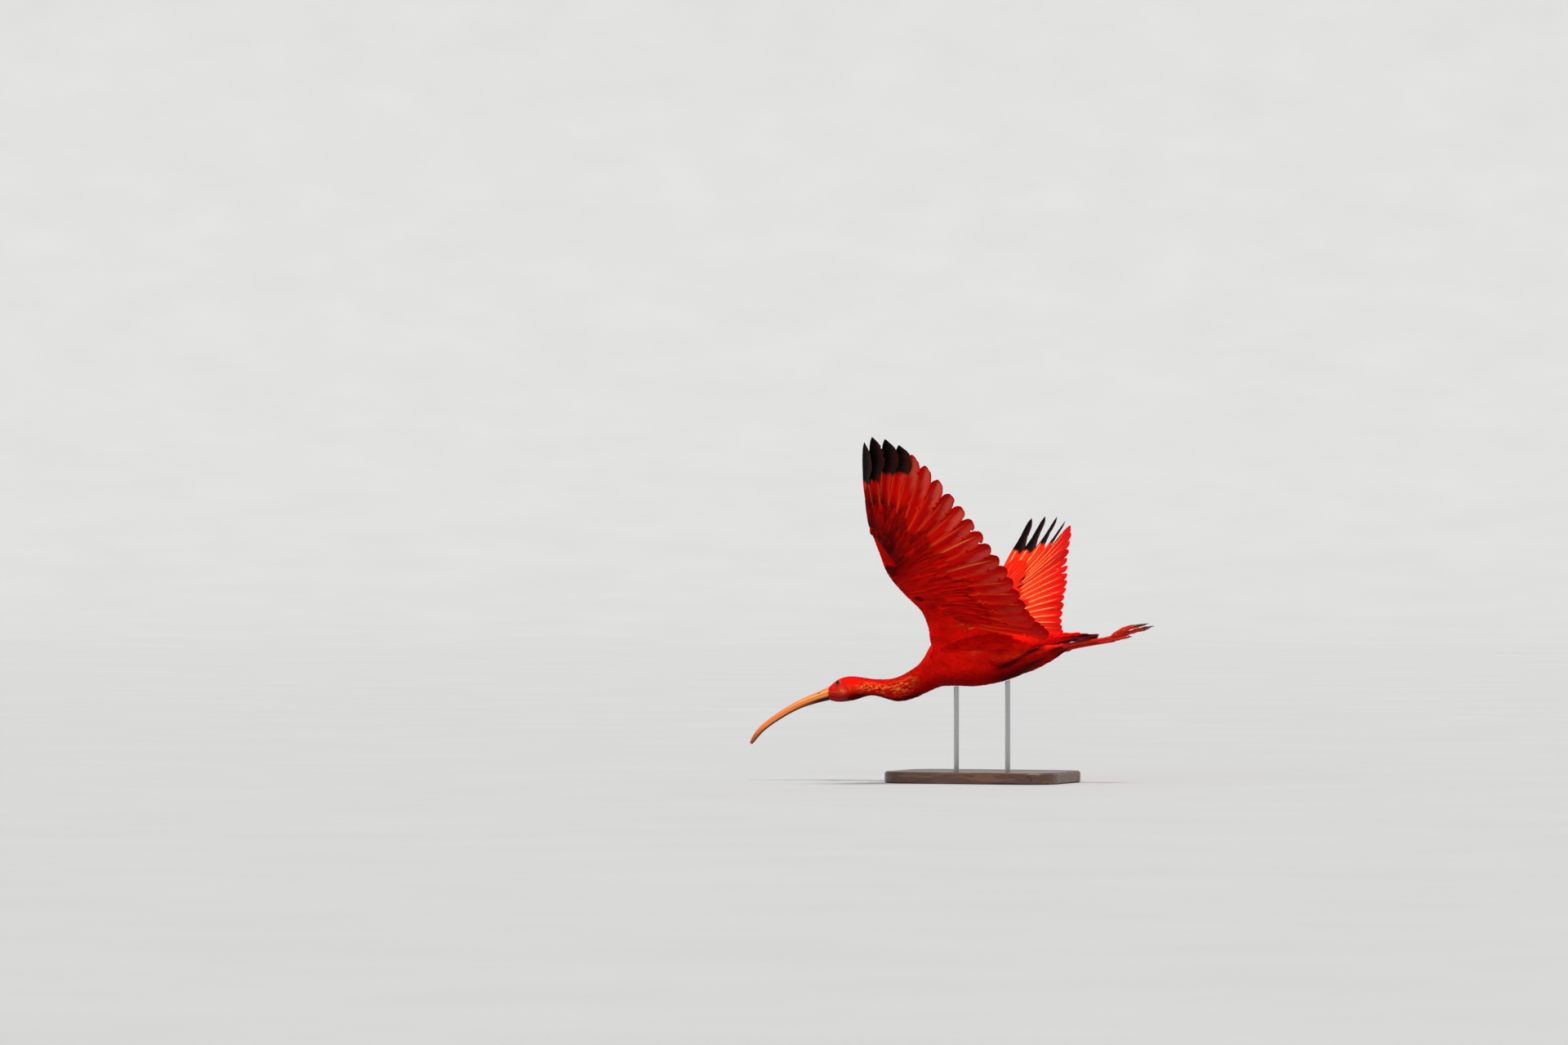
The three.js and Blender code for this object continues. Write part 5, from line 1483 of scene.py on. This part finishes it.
large = [*wings.values(), tailPiece]
small = [*coats, *arms.values(), *thighs.values(), *shoulders]
for pieces, finish in (
    (large, featherFinish("flight_plumage", 0.5, 0.15)), (small, featherFinish("body_plumage", 0.62, 0)),
    ([skin], skinFinish()), (bills, hornFinish()),
):
    for piece in pieces:
        dress(piece, finish)
for label, flip in flips.items():
    dress(eyes[label], eyeFinish(label, flip))
clawMade = clawFinish()
for piece in claws:
    dress(piece, clawMade)
woodMade, steelMade = woodFinish(), steelFinish()
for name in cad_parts:
    carried = bpy.data.objects.get(name)
    if carried and name.startswith("stand_"):
        dress(carried, woodMade if name == "stand_base" else steelMade)

# Riding
for piece in [skin, *large, *small, *bills, *eyes.values(), *claws]:
    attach(piece, "root")
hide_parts("torso", "neck_lower", "neck_upper", "head", "thigh_left", "thigh_right", "shank_left", "shank_right",
            "foot_left", "foot_right")
for label in flips:
    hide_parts(f"wing_{label}")
    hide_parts(f"eye_{label}")
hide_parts("tail")
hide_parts("bill_upper")
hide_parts("bill_lower")

# Stage, light and camera
camera = {"azimuth": 20.45, "far": 13.5, "lens": 199.5, "pixel": 1.269, "shoulderAt": (1158, 802), "middle": (960, 640)}
stage = {"flat": 15, "rise": 14, "steps": 28, "slope": 80, "colour": (0.5, 0.51, 0.52)}
suns = {
    "key": {"way": (0.25, -0.32, 1.0), "strength": 3.3, "spread": 12, "colour": (1, 0.96, 0.9)},
    "fill": {"way": (-0.5, -1.0, 0.3), "strength": 0.55, "spread": 50, "colour": (1, 0.97, 0.94)},
}
sky = {"Color": (0.9, 0.93, 1, 1), "Strength": 0.42}


def makeStage():
    # A floor that rises softly far behind the camera's reach on every side
    deselectAll()
    bpy.ops.mesh.primitive_grid_add(x_subdivisions=96, y_subdivisions=stage["steps"] + 1, size=2)
    floor = bpy.context.object
    floor.name = floor.data.name = "floor"
    for vertex in floor.data.vertices:
        turn = math.pi * (vertex.co.x + 1)
        row = round((vertex.co.y + 1) / 2 * (stage["steps"] + 1))
        bend = math.radians(stage["slope"] * max(row - 1, 0) / stage["steps"])
        radius = (stage["flat"] if row else 0.0) + stage["rise"] * math.sin(bend)
        vertex.co = (radius * math.cos(turn), radius * math.sin(turn), stage["rise"] * (1 - math.cos(bend)))
    closeUp(inward=True, merge=1e-5)
    floor.data.shade_smooth()
    finish = Finish("pale_floor")
    speck = finish.noise(3.0, 3.0)
    low, high = [tuple(c * k for c in stage["colour"]) for k in (0.98, 1.02)]
    finish.set(colour=finish.ramp(speck, [(0.3, low), (0.7, high)]), roughness=0.95, specular=0.1)
    dress(floor, finish)


def addSun(name, sun):
    deselectAll()
    x, y, z = sun["way"]
    bpy.ops.object.light_add(type="SUN", location=[8 * value for value in sun["way"]])
    light = bpy.context.object
    light.name = name
    light.data.energy, light.data.angle, light.data.color = sun["strength"], math.radians(sun["spread"]), sun["colour"]
    light.rotation_euler = (math.atan2(math.hypot(x, y), z), 0, math.atan2(x, -y))


makeStage()
for name, sun in suns.items():
    addSun(name, sun)
world = bpy.data.worlds.new("studio")
bpy.context.scene.world = world
world.use_nodes = True
for name, value in sky.items():
    world.node_tree.nodes["Background"].inputs[name].default_value = value

azimuth = math.radians(camera["azimuth"])
look = np.array([-math.sin(azimuth), math.cos(azimuth), 0])
rightWay = np.array([math.cos(azimuth), math.sin(azimuth), 0])
offset = (np.array(camera["shoulderAt"]) - camera["middle"]) * camera["pixel"] / 1000
cameraPlace = shoulder / 1000 - look * camera["far"] - rightWay * offset[0] + np.array([0, 0, offset[1]])
deselectAll()
bpy.ops.object.camera_add(location=cameraPlace, rotation=(math.radians(90), 0, azimuth))
view = bpy.context.object
view.data.lens = camera["lens"]
view.data.sensor_width = 36
view.data.clip_end = 100
bpy.context.scene.camera = view
bpy.context.scene.view_settings.view_transform = "Standard"
